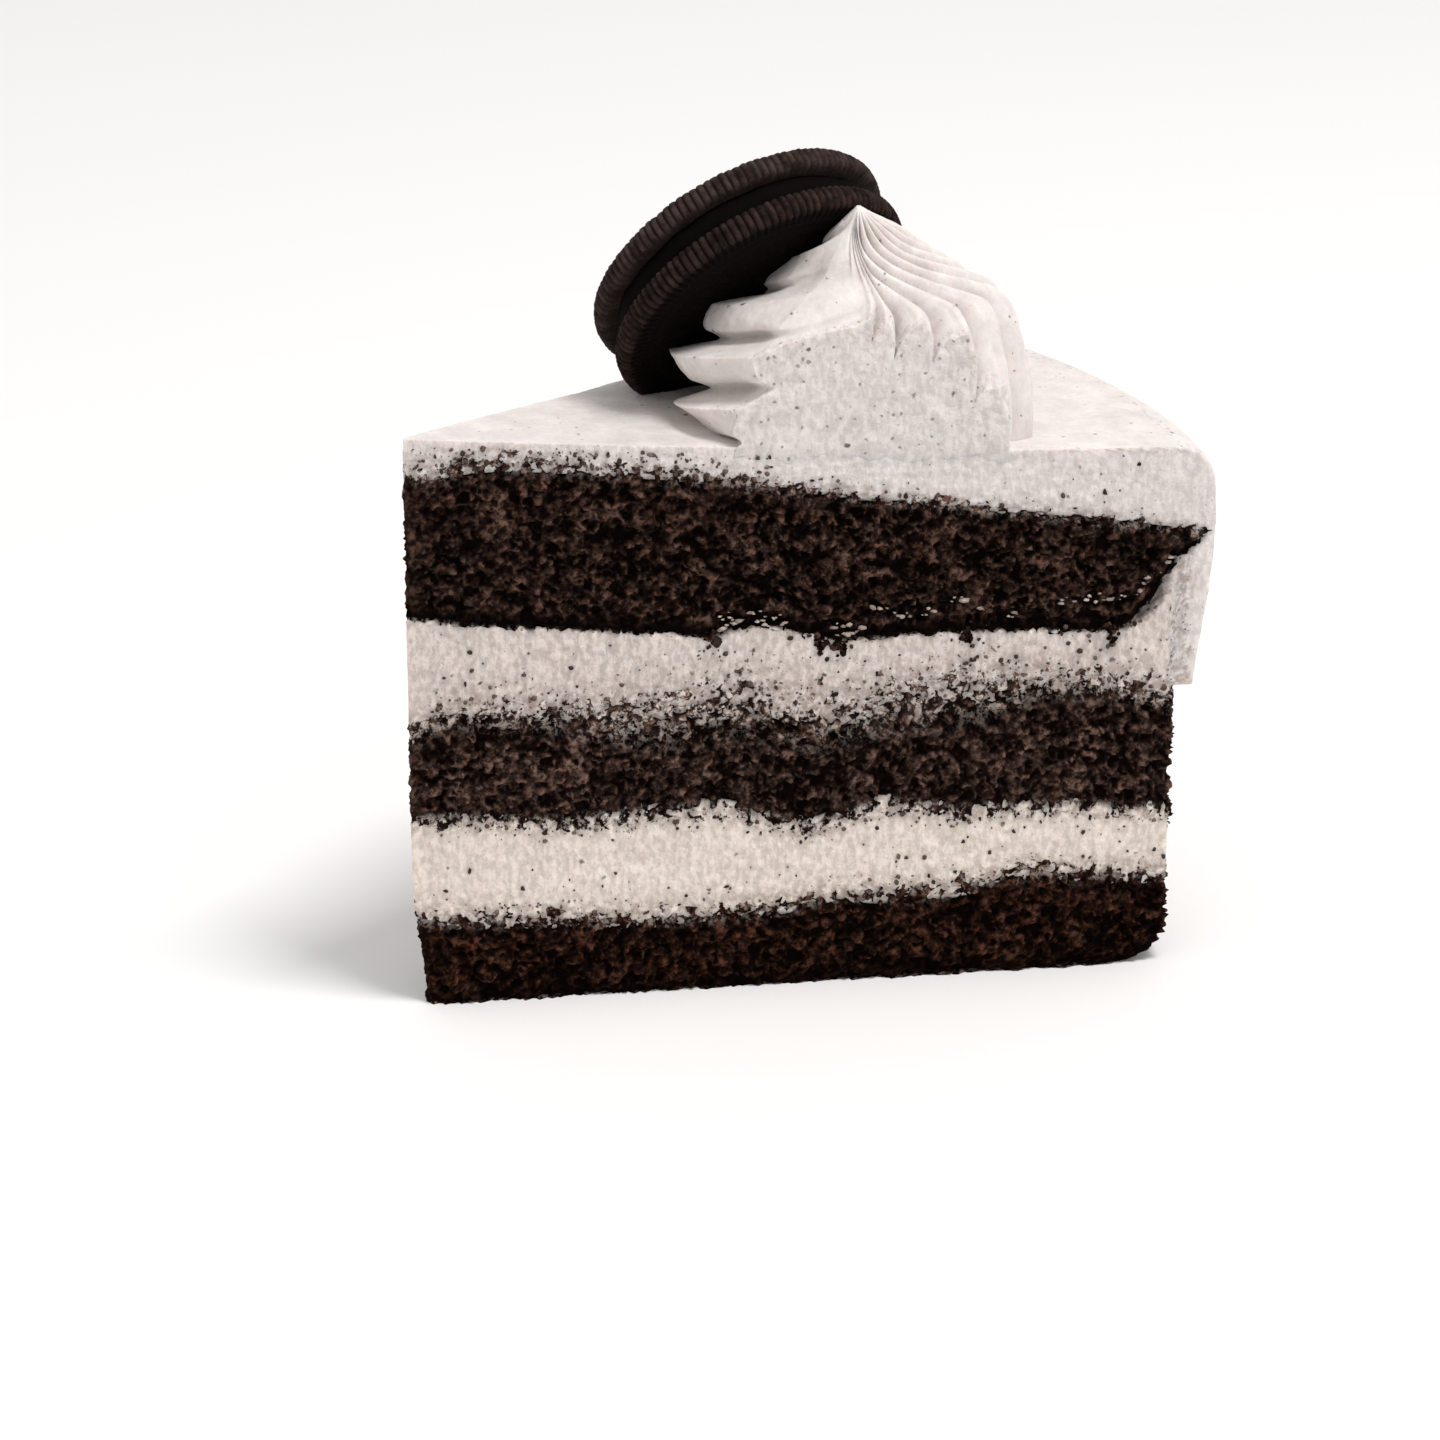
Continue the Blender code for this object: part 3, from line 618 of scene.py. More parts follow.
RIDGES = 20
LEDGE_CYCLE = 6.5
BISCUIT_SIDE = math.radians(-139)
print("the swirl is", round(SWIRL_PEAK - SWIRL_BASE, 1), "mm high, with a ledge every", LEDGE_CYCLE, "mm")


# %% Ridges of the swirl
def swirl_ridges(azimuth, height):
    """Phase across the ridges, and how far a point belongs to the upright ones on the right."""
    lying = 2 * math.pi * (LEDGE_START - np.maximum(height, LOWEST_LEDGE)) / LEDGE_CYCLE + 4 * azimuth
    turn = np.minimum(math.radians(3.5) * (99.0 - height), 0)
    right = ease((azimuth - turn) / math.radians(22) + 0.5)
    right = np.where(azimuth < BISCUIT_SIDE, 1.0, right)
    twist = 1.2 * ease((height - 97.5) / 9) - 0.22 * ease((height - 84) / 14)
    uneven = 0.025 * np.sin(3 * azimuth + 1.3) + 0.03 * np.sin((height - SWIRL_BASE) / 2.6 + 2 * azimuth)
    upright = RIDGES * (azimuth + twist + uneven) + 6.8
    return lying + (upright - lying) * right, right


upright_share = swirl_ridges(np.radians((-90, 0, 90)), np.full(3, 90.0))[1]
print("ridges are upright by", upright_share.round(2), "at the left, in front and at the right")


# %% Body of the swirl
def swirl_surface(azimuth, level):
    """Points of the uncut swirl, in millimetres. Azimuth 0 faces the front and grows to the right."""
    above, below = np.minimum(level + 0.01, 1), np.maximum(level - 0.01, 0)
    across = -(smooth_curve(SWIRL_RADIUS, above) - smooth_curve(SWIRL_RADIUS, below))
    upward = (SWIRL_PEAK - SWIRL_BASE) * (above - below)
    length = np.hypot(across, upward)
    out_x, out_z = upward / length, across / length

    phase, right = swirl_ridges(azimuth, SWIRL_BASE + (SWIRL_PEAK - SWIRL_BASE) * level)
    left = 1 - right
    ledge_form = smooth_curve(LEDGE_FORM, (phase / (2 * math.pi)) % 1)
    lobe_form = np.abs(np.cos(phase / 2)) ** 0.6 - 0.65
    calm = 0.70 * ease((level - 0.60) / 0.10) * ease((0.93 - level) / 0.10)
    lobe = (1 - calm) * (3.6 * lobe_form + 0.25 * (np.abs(np.cos(1.5 * phase)) ** 0.7 - 0.7))
    to_front = ease((azimuth + math.radians(63)) / math.radians(25))
    ledge = LEDGE_DEPTH * (1 - 0.6 * ease((level - 0.60) / 0.12)) * (1 - 0.7 * to_front) * ledge_form
    ledge += smooth_curve(LEDGE_REACH, level)
    push = (lobe * right + ledge * left) * ease((1 - level) / 0.20)
    push *= ease(np.abs(azimuth - BISCUIT_SIDE) / math.radians(22))

    middle = ease(level / 0.45) * ease((1 - level) / 0.30)
    facing = np.where(np.abs(azimuth) < math.pi / 4, np.clip(np.cos(2 * azimuth), 0, 1), 0) ** 0.7
    to_right = np.where((azimuth > 0) & (azimuth < math.pi / 2), np.sin(2 * azimuth) ** 2, 0)
    to_left = np.where((azimuth < 0) & (azimuth > -math.pi / 2), np.sin(2 * azimuth) ** 2, 0)
    spread = 1 - 0.17 * facing * middle + 0.08 * to_right * middle
    spread += to_left * smooth_curve(SWIRL_FRONT_LEFT, level)
    on_right = ease((azimuth - math.radians(48)) / math.radians(38))
    on_right *= ease((math.pi - azimuth) / math.radians(70))
    radius = smooth_curve(SWIRL_RADIUS, level) * spread + smooth_curve(SWIRL_BULGE, level) * on_right
    radius += (out_x * right + left) * push
    x = smooth_curve(SWIRL_MIDDLE_X, level) + radius * np.sin(azimuth)
    y = SWIRL_MIDDLE_Y - radius * np.cos(azimuth)
    foot = frosting_height(x, np.maximum(y, 0)) - SWIRL_SINK
    z = foot + (SWIRL_PEAK - foot) * level + out_z * right * push
    return np.stack((x, y, z), axis=1)


azimuths = np.linspace(-math.pi, math.pi, SWIRL_COLUMNS, endpoint=False)
levels = np.linspace(0, 1, SWIRL_ROWS)
grid_azimuth, grid_level = (values.ravel() for values in np.meshgrid(azimuths, levels))
swirl_points = swirl_surface(grid_azimuth, grid_level)
rough = 0.10 * waves(swirl_points, 1.1, 21) + 0.14 * waves(swirl_points, 2.6, 22)
rough *= ease((1 - grid_level) / 0.08)
swirl_points[:, 0] += rough * np.sin(grid_azimuth)
swirl_points[:, 1] -= rough * np.cos(grid_azimuth)
print("swirl reaches", swirl_points[:, 2].max().round(1), "mm over the plate")

# %% [markdown]
# The cut through the swirl is one flat face. A Boolean would leave it as a single large polygon, which
# can't carry any relief. So the mesh is cut at the plane, the opening is filled, and the filling is divided
# by a grid of further cuts. Then it gets the same dragged relief as the frosting below it, and the two
# faces meet without a step.

# %% Cut the swirl and close the cut
def faces_of_cut(bm):
    """Faces that lie in the plane of the front cut."""
    return [face for face in bm.faces if max(abs(vert.co.y) for vert in face.verts) < 1e-3]


def crosses(face, axis, value):
    """Whether a line across the cut goes through a face."""
    values = [vert.co[axis] for vert in face.verts]
    return min(values) < value < max(values)


def cut_flat(points, around, cell):
    """The swirl behind the plane of the front cut, with its cut face divided into cells."""
    bm = bmesh.new()
    verts = [bm.verts.new(point) for point in points]
    for corners in turned_faces(len(points) // around, around):
        bm.faces.new([verts[k] for k in corners])
    bmesh.ops.bisect_plane(
        bm, geom=bm.verts[:] + bm.edges[:] + bm.faces[:], dist=1e-4,
        plane_co=(0, 0, 0), plane_no=(0, 1, 0), clear_inner=True,
    )
    open_edges = [edge for edge in bm.edges if edge.is_boundary]
    bmesh.ops.triangle_fill(bm, use_beauty=True, use_dissolve=False, edges=open_edges)
    for axis in (0, 2):
        values = [vert.co[axis] for face in faces_of_cut(bm) for vert in face.verts]
        for value in np.arange(min(values) + cell, max(values), cell):
            near = [face for face in faces_of_cut(bm) if crosses(face, axis, value)]
            edges = dict.fromkeys(edge for face in near for edge in face.edges)
            corners = dict.fromkeys(vert for face in near for vert in face.verts)
            middle, normal = Vector(), Vector()
            middle[axis] = value
            normal[axis] = 1
            bmesh.ops.bisect_plane(
                bm, geom=[*corners, *edges, *near], dist=1e-4, plane_co=middle, plane_no=normal
            )
    flat = list(dict.fromkeys(vert for face in faces_of_cut(bm) for vert in face.verts))
    flat_points = np.array([vert.co for vert in flat])
    top = frosting_height(flat_points[:, 0], np.zeros(len(flat)))
    push = cut_cream(flat_points) + 0.25 + 0.25 * waves(flat_points, 3.0, 27)
    push += 0.2 * np.minimum(flat_points[:, 2] - top + 0.2, 0)
    for vert, amount in zip(flat, push):
        vert.co.y -= amount
    bmesh.ops.triangulate(bm, faces=[face for face in bm.faces if len(face.verts) > 4])
    bm.verts.index_update()
    cut_points = np.array([vert.co for vert in bm.verts])
    faces = [[vert.index for vert in face.verts] for face in bm.faces]
    bm.free()
    return cut_points, faces


swirl = new_piece("piped_swirl", *cut_flat(swirl_points, SWIRL_COLUMNS, CUT_CELL))
swirl.data.set_sharp_from_angle(angle=math.radians(60))
note_on(swirl, "cut", np.array([1000 * vert.co.y < NEAR_CUT for vert in swirl.data.vertices], float), 0)
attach(swirl, "root")
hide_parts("swirl")

# %% [markdown]
# ## The sandwich biscuit
#
# Two dark wafers hold a filling that is coloured nearly black, so the recessed gap between them reads black.
# Their
# rims are finely ridged, and their outer faces are embossed. The embossing here is a plain one of this
# object's own:
# rings, dots and short rays. A wafer is made as one grid that runs round it, so ridges and embossing are
# heights in that grid.

# %% Pattern and rim of a wafer
BISCUIT_MIDDLE = np.array((49.9, 30.5, 99.1))
BISCUIT_DIRECTION = Vector((0.353, -0.706, -0.613)).normalized()
WAFER_THICKNESS, WAFER_SPACING = 3.5, 3.6
WAFER_RINGS = 42
RIM_TEETH = 120


def embossing(radius, turn):
    """Height of the pattern on the outer face over its field, in millimetres."""
    raised = ease((radius - 18.2) / 0.5)
    rays = ease(0.5 + 0.8 * np.cos(RIM_TEETH * turn)) * ease((radius - 18.9) / 0.3)
    ring = sum(ease(1 - np.abs(radius - middle) / 0.55) for middle in (4.2, 10.2, 16.6))
    dots = 0
    for middle, count, size in ((7.2, 12, 1.1), (13.4, 28, 0.95)):
        step = 2 * math.pi / count
        aside = middle * ((turn + step / 2) % step - step / 2)
        dots = dots + ease((size - np.hypot(radius - middle, aside)) / 0.5)
    return 0.45 * raised - 0.35 * rays * raised + 0.42 * ring + 0.50 * dots


def rim_tooth(turn):
    """Height of the teeth round the rim, from 0 between two teeth to 1 on top."""
    return np.abs(np.sin(RIM_TEETH / 2 * turn)) ** 0.55


pattern = embossing(np.linspace(0.3, 20.9, 200), np.zeros(200))
print("embossing stands from", pattern.min().round(2), "to", pattern.max().round(2), "mm along one ray")


# %% Points of a wafer
def spun(profile, turns):
    """Radius, height and direction of each point of a profile that is turned round an axis."""
    radius, height = (np.repeat(values, len(turns)) for values in np.array(profile).T)
    return radius, height, np.tile(turns, len(profile))


def round_axis(radius, height, turn):
    """Points from radius, height and direction."""
    return np.stack((radius * np.cos(turn), radius * np.sin(turn), height), axis=1)


def wafer_points(turns, outer_rings, seed):
    """Points of a wafer that lies with its filling side down on height 0."""
    profile = [(radius, 0.0) for radius in np.linspace(2, 21.0, 6)]
    profile += [(21.9, 0.25), (22.15, 0.8), (22.2, 1.4), (22.2, 2.0), (22.05, 2.6), (21.7, 3.1), (21.2, 3.42)]
    rim = len(profile)
    profile += [(radius, WAFER_THICKNESS) for radius in np.linspace(20.9, 0.3, outer_rings)]
    radius, height, turn = spun(profile, turns)
    on_rim = ease((radius - 20.9) / 0.6)
    on_face = np.repeat(np.arange(len(profile)) >= rim, len(turns))
    height = height + np.where(on_face, embossing(radius, turn) - 0.45, 0)
    flat = round_axis(radius, height, turn)
    baked = 0.14 * waves(flat, 0.9, seed) + 0.10 * waves(flat, 4.0, seed + 3)
    radius = radius - on_rim * (0.70 * (1 - rim_tooth(turn)) - 0.5 * baked)
    height = height + np.where(height > 0.5, baked, 0)
    return round_axis(radius, height, turn)


def on_biscuit(points, distance, direction):
    """Points that lay flat, put on the biscuit's axis with their upper side towards the direction."""
    turned = np.array(points) @ np.array(direction.to_track_quat("Z", "Y").to_matrix()).T
    return turned + BISCUIT_MIDDLE + distance * np.array(BISCUIT_DIRECTION)


# %% Two wafers
turns = np.linspace(0, 2 * math.pi, 6 * RIM_TEETH, endpoint=False)
wafers = []
for name, distance, direction, seed, lit_pattern_share, node in (
    ("ridged_wafer_front", WAFER_THICKNESS + WAFER_SPACING, BISCUIT_DIRECTION, 31, 0.0, "wafer_front"),
    ("ridged_wafer_back", WAFER_THICKNESS, -BISCUIT_DIRECTION, 47, 1.0, "wafer_back"),
):
    flat = wafer_points(turns, WAFER_RINGS, seed)
    rows = len(flat) // len(turns)
    wafer = new_piece(name, on_biscuit(flat, distance, direction), turned_faces(rows, len(turns)))
    reach = np.hypot(flat[:, 0], flat[:, 1])
    turn = np.tile(turns, rows)
    # Painted light and shade: the rim and the tops of its teeth are lighter, and the valleys between the
    # teeth and the face inside the rim are nearly black. On the rear wafer the raised pattern is painted
    # lighter too.
    painted_lit_rim = ease((reach - 18.0) / 3.0) * ease((reach - 20.8) / 1.2 + 0.35) * (0.2 + 0.8 * rim_tooth(turn))
    painted_lit_pattern = lit_pattern_share * ease(embossing(reach, turn) / 0.4) * (flat[:, 2] > WAFER_THICKNESS / 2)
    note_on(wafer, "raised", np.maximum(painted_lit_rim, painted_lit_pattern), 0)
    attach(wafer, "root")
    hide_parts(node)
    wafers.append(wafer)

# %% [markdown]
# The filling is a soft disc that stops short of the rim. Its edge bulges a little and isn't quite round,
# because it was squeezed between the wafers.

# %% Filling of the biscuit
FILLING_PROFILE = (
    (2.0, 0.0), (12.0, 0.0), (19.6, 0.0), (20.1, 0.7), (20.3, 1.8),
    (20.1, 2.9), (19.6, WAFER_SPACING), (12.0, WAFER_SPACING), (2.0, WAFER_SPACING),
)
turns = np.linspace(0, 2 * math.pi, 160, endpoint=False)
radius, height, turn = spun(FILLING_PROFILE, turns)
flat = round_axis(radius, height, turn)
flat[:, :2] *= 1 + (0.02 * waves(flat, 4.0, 51) * ease(radius - 18))[:, None]
filling = new_piece(
    "biscuit_cream", on_biscuit(flat, WAFER_THICKNESS, BISCUIT_DIRECTION),
    turned_faces(len(FILLING_PROFILE), len(turns)),
)
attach(filling, "root")
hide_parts("biscuit_filling")

# %% [markdown]
# ## Crumbs in and on the cream
#
# Crushed biscuit is stirred into the cream, and the knife drags sponge crumbs over it. They lie thickest
# next to the sponges and thin out away from them. Each crumb is a small irregular lump that is partly sunk
# in the surface. A few clusters of sponge hang from the top sponge's lower edge, and small bits of cream
# are smeared over it. A particle system would scatter them too, but it leaves nothing that can be
# exported, so each kind is one mesh.

# %% Places on the cuts and the side
chance = np.random.default_rng(7)
lump = bmesh.new()
bmesh.ops.create_icosphere(lump, subdivisions=1, radius=1)
lump_points = np.array([vert.co for vert in lump.verts])
lump_faces = np.array([[vert.index for vert in face.verts] for face in lump.faces])
lump.free()


def cut_places(count, low, high, gather, reach=LAYER_RADIUS, outer_share=0.2):
    """Random places on the cuts and the outer side, between two heights given as functions.

    A gather above 1 draws them to the lower height, and one below 1 draws them to the upper height.
    """
    share = chance.uniform(0, 1, count) ** gather
    where = chance.uniform(0, 1, count)
    radius = reach * chance.uniform(0.03, 0.995, count)
    angle = np.where(where < 0.5 * (1 - outer_share), 0, SLICE_ANGLE)
    outer = where > 1 - outer_share
    radius = np.where(outer, 107.9, radius)
    angle = np.where(outer, chance.uniform(0, SLICE_ANGLE, count), angle)
    x, y = radius * np.cos(angle), radius * np.sin(angle)
    z = low(x, y) + (high(x, y) - low(x, y)) * share
    outward = np.stack((
        np.where(outer, np.cos(angle), np.where(angle > 0, -math.sin(SLICE_ANGLE), 0)),
        np.where(outer, np.sin(angle), np.where(angle > 0, math.cos(SLICE_ANGLE), -1)),
        np.zeros(count),
    ), axis=1)
    return np.stack((x, y, z), axis=1), outward


def clusters(count, face, spots, width, height):
    """Random places in small clusters on both cuts. Each spot is a radius and a height over the face."""
    found = []
    for radius, rise in spots:
        for angle in (0, SLICE_ANGLE):
            along = radius + width * chance.normal(0, 0.5, count)
            x, y = along * math.cos(angle), along * math.sin(angle)
            z = face(x, y) + rise + height * chance.normal(0, 0.5, count)
            outward = (-math.sin(angle), math.cos(angle), 0) if angle else (0, -1, 0)
            found.append((np.stack((x, y, z), axis=1), np.tile(outward, (count, 1))))
    return [np.concatenate(values) for values in zip(*found)]


print("a lump has", len(lump_faces), "faces")

# %% Crumbs
middle_roof, middle_floor = layer_face(MIDDLE_SPONGE_TOP), layer_face(MIDDLE_SPONGE_BASE)
bottom_roof, top_floor = layer_face(BOTTOM_SPONGE_TOP), layer_face(TOP_SPONGE_BASE)
groups = [
    cut_places(500, lifted(middle_roof, 0.2), lifted(middle_roof, 8.0), 2.2),
    cut_places(260, lifted(bottom_roof, 0.2), lifted(bottom_roof, 7.0), 2.0),
    cut_places(350, lifted(middle_floor, -3.0), middle_floor, 0.6),
    cut_places(60, lifted(top_floor, -4.0), top_floor, 0.4),
    cut_places(420, lifted(sponge_roof, -0.3), lifted(frosting_height, -0.9), 1.7, reach=52, outer_share=0),
    cut_places(120, lifted(sponge_roof, 0), lifted(frosting_height, -0.9), 2.6, reach=106, outer_share=0),
]
LUMP_LIFT = 0.2


def scattered(name, places, outwards, sizes, stretch=(1, 1, 1)):
    """One mesh of many irregular lumps. Each keeps a random number for its finish."""
    lumps, faces = [], []
    for i, (spot, away, size) in enumerate(zip(places, outwards, sizes)):
        dents = chance.uniform(0.6, 1.3, (len(lump_points), 1))
        shape = lump_points * size * dents * chance.uniform(0.7, 1.2, 3)
        lumps.append(spot + shape * stretch + away * size * LUMP_LIFT)
        faces.append(lump_faces + i * len(lump_points))
    piece = new_piece(name, np.concatenate(lumps), np.concatenate(faces).tolist())
    note_on(piece, "raised", np.repeat(chance.uniform(0, 1, len(places)), len(lump_points)), 0)
    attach(piece, "root")
    return piece


places, outwards = (np.concatenate([group[k] for group in groups]) for k in (0, 1))
sizes = 0.12 + 0.34 * chance.uniform(0, 1, len(places)) ** 3
crumbs = scattered("dark_crumbs", places, outwards, sizes)

# %% Lumps of sponge that hang from the top sponge, and bits of cream that the knife dragged over it
HANGING_SPOTS = ((42.5, -0.2), (57.5, -0.3), (60.5, -0.6), (78.5, -0.3), (99.0, -0.5))
places, outwards = clusters(26, top_floor, HANGING_SPOTS, width=1.1, height=1.3)
sizes = 0.25 + 0.4 * chance.uniform(0, 1, len(places)) ** 2
torn_lumps = scattered("torn_lumps", places, outwards, sizes)

SMEAR_SPOTS = (
    (66, 4.6), (69, 3.3), (72.5, 3.4), (77, 4.8), (81, 3.8), (84.5, 2.6), (92, 4.6), (96, 4.8), (99.5, 4.4),
    (103, 3.6), (106, 2.2), (44.5, 2.4), (44, 0.8), (46, 1.4), (48, 2.2), (49, 0.6), (51, 2.0), (52.5, 1.0),
    (60.5, 2.6), (62, 1.8), (61.5, 0.7),
)
places, outwards = clusters(5, top_floor, SMEAR_SPOTS, width=1.6, height=0.6)
sizes = 0.16 + 0.34 * chance.uniform(0, 1, len(places)) ** 2
bits = scattered("cream_bits", places, outwards, sizes, stretch=(1.5, 1.5, 0.7))

# %% [markdown]
# ## Materials
#
# All finishes here are matt and uneven at the scale of a millimetre or less. They are mixed from a few
# shared effects, kept as node groups: dark specks of crushed biscuit, soft mottling, and fine grain. The
# groups read the place on the object in metres, so a size in millimetres is turned into a scale first.

# %% Helpers for nodes
def put(tree, kind, links=None, **settings):
    """A node with its settings. An input gets a number, a colour, or the socket that feeds it."""
    made = tree.nodes.new(kind)
    for name, value in settings.items():
        setattr(made, name, value)
    for name, value in (links or {}).items():
        if isinstance(value, bpy.types.NodeSocket):
            tree.links.new(value, made.inputs[name])
        else:
            made.inputs[name].default_value = (*value, 1) if isinstance(value, tuple) else value
    return made


def maths(tree, operation, *values, clamp=False):
    """The result of one step of arithmetic. Each value is a number or a socket."""
    inputs = dict(enumerate(values))
    return put(tree, "ShaderNodeMath", inputs, operation=operation, use_clamp=clamp).outputs[0]


def mix_colours(tree, share, first, second):
    """Two colours mixed by a share. Each is a colour or a socket."""
    links = {"Factor": share, "A": first, "B": second}
    return put(tree, "ShaderNodeMix", links, data_type="RGBA").outputs["Result"]


print("helpers for nodes:", ", ".join(helper.__name__ for helper in (put, maths, mix_colours)))


# %% Specks of crushed biscuit
def new_group(name, numbers, colours, output, kind):
    """A new node group with named inputs and one output. Returns it with its two ends."""
    tree = bpy.data.node_groups.new(name, "ShaderNodeTree")
    for label, value in numbers.items():
        tree.interface.new_socket(label, in_out="INPUT", socket_type="NodeSocketFloat").default_value = value
    for label, value in colours.items():
        made = tree.interface.new_socket(label, in_out="INPUT", socket_type="NodeSocketColor")
        made.default_value = (*value, 1)
    tree.interface.new_socket(output, in_out="OUTPUT", socket_type="NodeSocket" + kind)
    given = tree.nodes.new("NodeGroupInput").outputs
    return tree, given, tree.nodes.new("NodeGroupOutput").inputs[output]


def place_on_piece(tree):
    """Where a point of the surface is on its object, in metres."""
    return put(tree, "ShaderNodeTexCoord").outputs["Object"]


def scale_for(tree, size):
    """Texture scale for a size in millimetres."""
    return maths(tree, "DIVIDE", 1000.0, size)


numbers = {"Spacing": 2.0, "Share": 0.3, "Size": 0.3}
specks, given, out = new_group("biscuit_specks", numbers, {}, "Mask", "Float")
place = place_on_piece(specks)
stray = put(specks, "ShaderNodeTexNoise", {"Vector": place, "Scale": 1800.0, "Detail": 2.0})
links = {"Factor": 0.0006, "A": place, "B": stray.outputs["Color"]}
strayed = put(specks, "ShaderNodeMix", links, data_type="VECTOR").outputs["Result"]
cells = put(specks, "ShaderNodeTexVoronoi", {"Vector": strayed, "Scale": scale_for(specks, given["Spacing"])})
own = put(specks, "ShaderNodeSeparateColor", {"Color": cells.outputs["Color"]})
chosen = maths(specks, "LESS_THAN", own.outputs["Red"], given["Share"])
reach = maths(specks, "MULTIPLY", own.outputs["Green"], given["Size"])
inside = maths(specks, "SUBTRACT", reach, cells.outputs["Distance"])
edge = maths(specks, "MULTIPLY", inside, 9.0, clamp=True)
specks.links.new(maths(specks, "MULTIPLY", edge, chosen), out)
print("group of", len(specks.nodes), "nodes for specks")

# %% Soft mottling between two colours
WHITE, BLACK = (1.0, 1.0, 1.0), (0.0, 0.0, 0.0)
numbers = {"Size": 4.0, "Contrast": 1.0, "Drag": 1.0}
mottling, given, out = new_group("soft_mottling", numbers, {"Light": WHITE, "Dark": BLACK}, "Color", "Color")
squeeze = put(mottling, "ShaderNodeCombineXYZ", {"X": 1.0, "Y": 1.0, "Z": given["Drag"]}).outputs[0]
links = {0: place_on_piece(mottling), 1: squeeze}
dragged = put(mottling, "ShaderNodeVectorMath", links, operation="MULTIPLY").outputs[0]
links = {"Vector": dragged, "Scale": scale_for(mottling, given["Size"]), "Detail": 5.0, "Roughness": 0.62}
clouds = put(mottling, "ShaderNodeTexNoise", links)
centred = maths(mottling, "SUBTRACT", clouds.outputs["Fac"], 0.5)
spread = maths(mottling, "MULTIPLY", given["Contrast"], 3.0)
share = maths(mottling, "MULTIPLY_ADD", centred, spread, 0.5, clamp=True)
mottling.links.new(mix_colours(mottling, share, given["Dark"], given["Light"]), out)
print("group of", len(mottling.nodes), "nodes for mottling")

# %% Fine grain for bumps
grain, given, out = new_group("fine_grain", {"Size": 0.5, "Pores": 0.5}, {}, "Height", "Float")
links = {"Vector": place_on_piece(grain), "Scale": scale_for(grain, given["Size"])}
fine = put(grain, "ShaderNodeTexNoise", {**links, "Detail": 4.0, "Roughness": 0.7})
cells = put(grain, "ShaderNodeTexVoronoi", links, feature="F1")
pore = maths(grain, "MULTIPLY", cells.outputs["Distance"], given["Pores"])
grain.links.new(maths(grain, "SUBTRACT", fine.outputs["Fac"], pore), out)
print("group of", len(grain.nodes), "nodes for grain")


# %% What every material needs
def new_finish(name, roughness, shine=0.5):
    """A material, its tree and its shader."""
    finish = bpy.data.materials.new(name)
    finish.use_nodes = True
    shader = finish.node_tree.nodes["Principled BSDF"]
    shader.inputs["Roughness"].default_value = roughness
    shader.inputs["Specular IOR Level"].default_value = shine
    return finish, finish.node_tree, shader


def use_group(tree, group, links):
    """A shared effect placed in a material."""
    return put(tree, "ShaderNodeGroup", links, node_tree=group).outputs[0]


def mottled(tree, size, contrast, light=WHITE, dark=BLACK, drag=1.0):
    """Soft patches of two colours. In white and black they are a mask."""
    links = {"Size": size, "Contrast": contrast, "Drag": drag, "Light": light, "Dark": dark}
    return use_group(tree, mottling, links)


def multiplied(tree, first, second):
    """The product of two numbers or sockets, kept between 0 and 1."""
    return maths(tree, "MULTIPLY", first, second, clamp=True)


def noted(tree, name):
    """The number that a mesh keeps at each point."""
    return put(tree, "ShaderNodeAttribute", attribute_name=name).outputs["Fac"]


def finish_surface(tree, shader, colour, height, strength, depth):
    """Give a shader its colour and its bump, whose depth is in millimetres."""
    bump = put(tree, "ShaderNodeBump", {"Height": height, "Strength": strength, "Distance": depth * MM})
    tree.links.new(bump.outputs["Normal"], shader.inputs["Normal"])
    tree.links.new(colour, shader.inputs["Base Color"])


print(len(bpy.data.node_groups), "shared effects for the materials")

# %% [markdown]
# Chocolate sponge is a greyish brown. Its pores are painted almost black as shade, and the grains that stand
# out are painted lighter as painted light. Each layer is also painted darker at its foot, as shade. The mesh
# keeps how far each point stands out, and a grain by grain change of colour keeps the sponge from looking
# like one dark stone.
# Near the cream, streaks of cream are smeared into the crumb.

# %% Sponge
def sponge_finish(name, light, dark, smear):
    """Painted shade in pores, painted light on grains, and smears of cream near the edges of the layer."""
    finish, tree, shader = new_finish(name, 0.9, 0.04)
    greyer = tuple(0.65 * value + 0.30 * sum(light) / 3 for value in light)
    # Painted shade and light: the less a point stands out, the closer its colour is to the near-black dark
    # one.
    height = multiplied(tree, noted(tree, "raised"), mottled(tree, 1.1, 2.0, WHITE, (0.25, 0.25, 0.25)))
    tone = mix_colours(tree, maths(tree, "POWER", height, 1.7), dark, mottled(tree, 1.6, 1.6, light, greyer))
    streaks = multiplied(tree, mottled(tree, 2.2, 4.0), mottled(tree, 1.0, 5.0))
    smeared = multiplied(tree, streaks, noted(tree, "edge_mix"))
    tone = mix_colours(tree, multiplied(tree, smeared, smear), tone, (0.68, 0.59, 0.54))
    fine = use_group(tree, grain, {"Size": 0.5, "Pores": 0.5})
    finish_surface(tree, shader, tone, fine, strength=0.5, depth=0.3)
    return finish


# The dark colour of each sponge is painted shade, in its pores and in the band at its foot.
for piece, light, dark, smear in (
    (sponge_top, (0.158, 0.078, 0.054), (0.0026, 0.0009, 0.0006), 0.5),
    (sponge_middle, (0.205, 0.112, 0.082), (0.0040, 0.0014, 0.0010), 1.0),
    (sponge_bottom, (0.105, 0.038, 0.020), (0.0030, 0.0010, 0.0006), 0.4),
):
    piece.data.materials.append(sponge_finish(piece.name + "_finish", light, dark, smear))
print("3 sponge finishes")

# %% [markdown]
# Cream is off white and matt, a little greyer where the knife smeared fine crumb into it. The lower filling
# is the paler and warmer one of the two. Some light passes through cream, so it scatters a little below its
# surface.

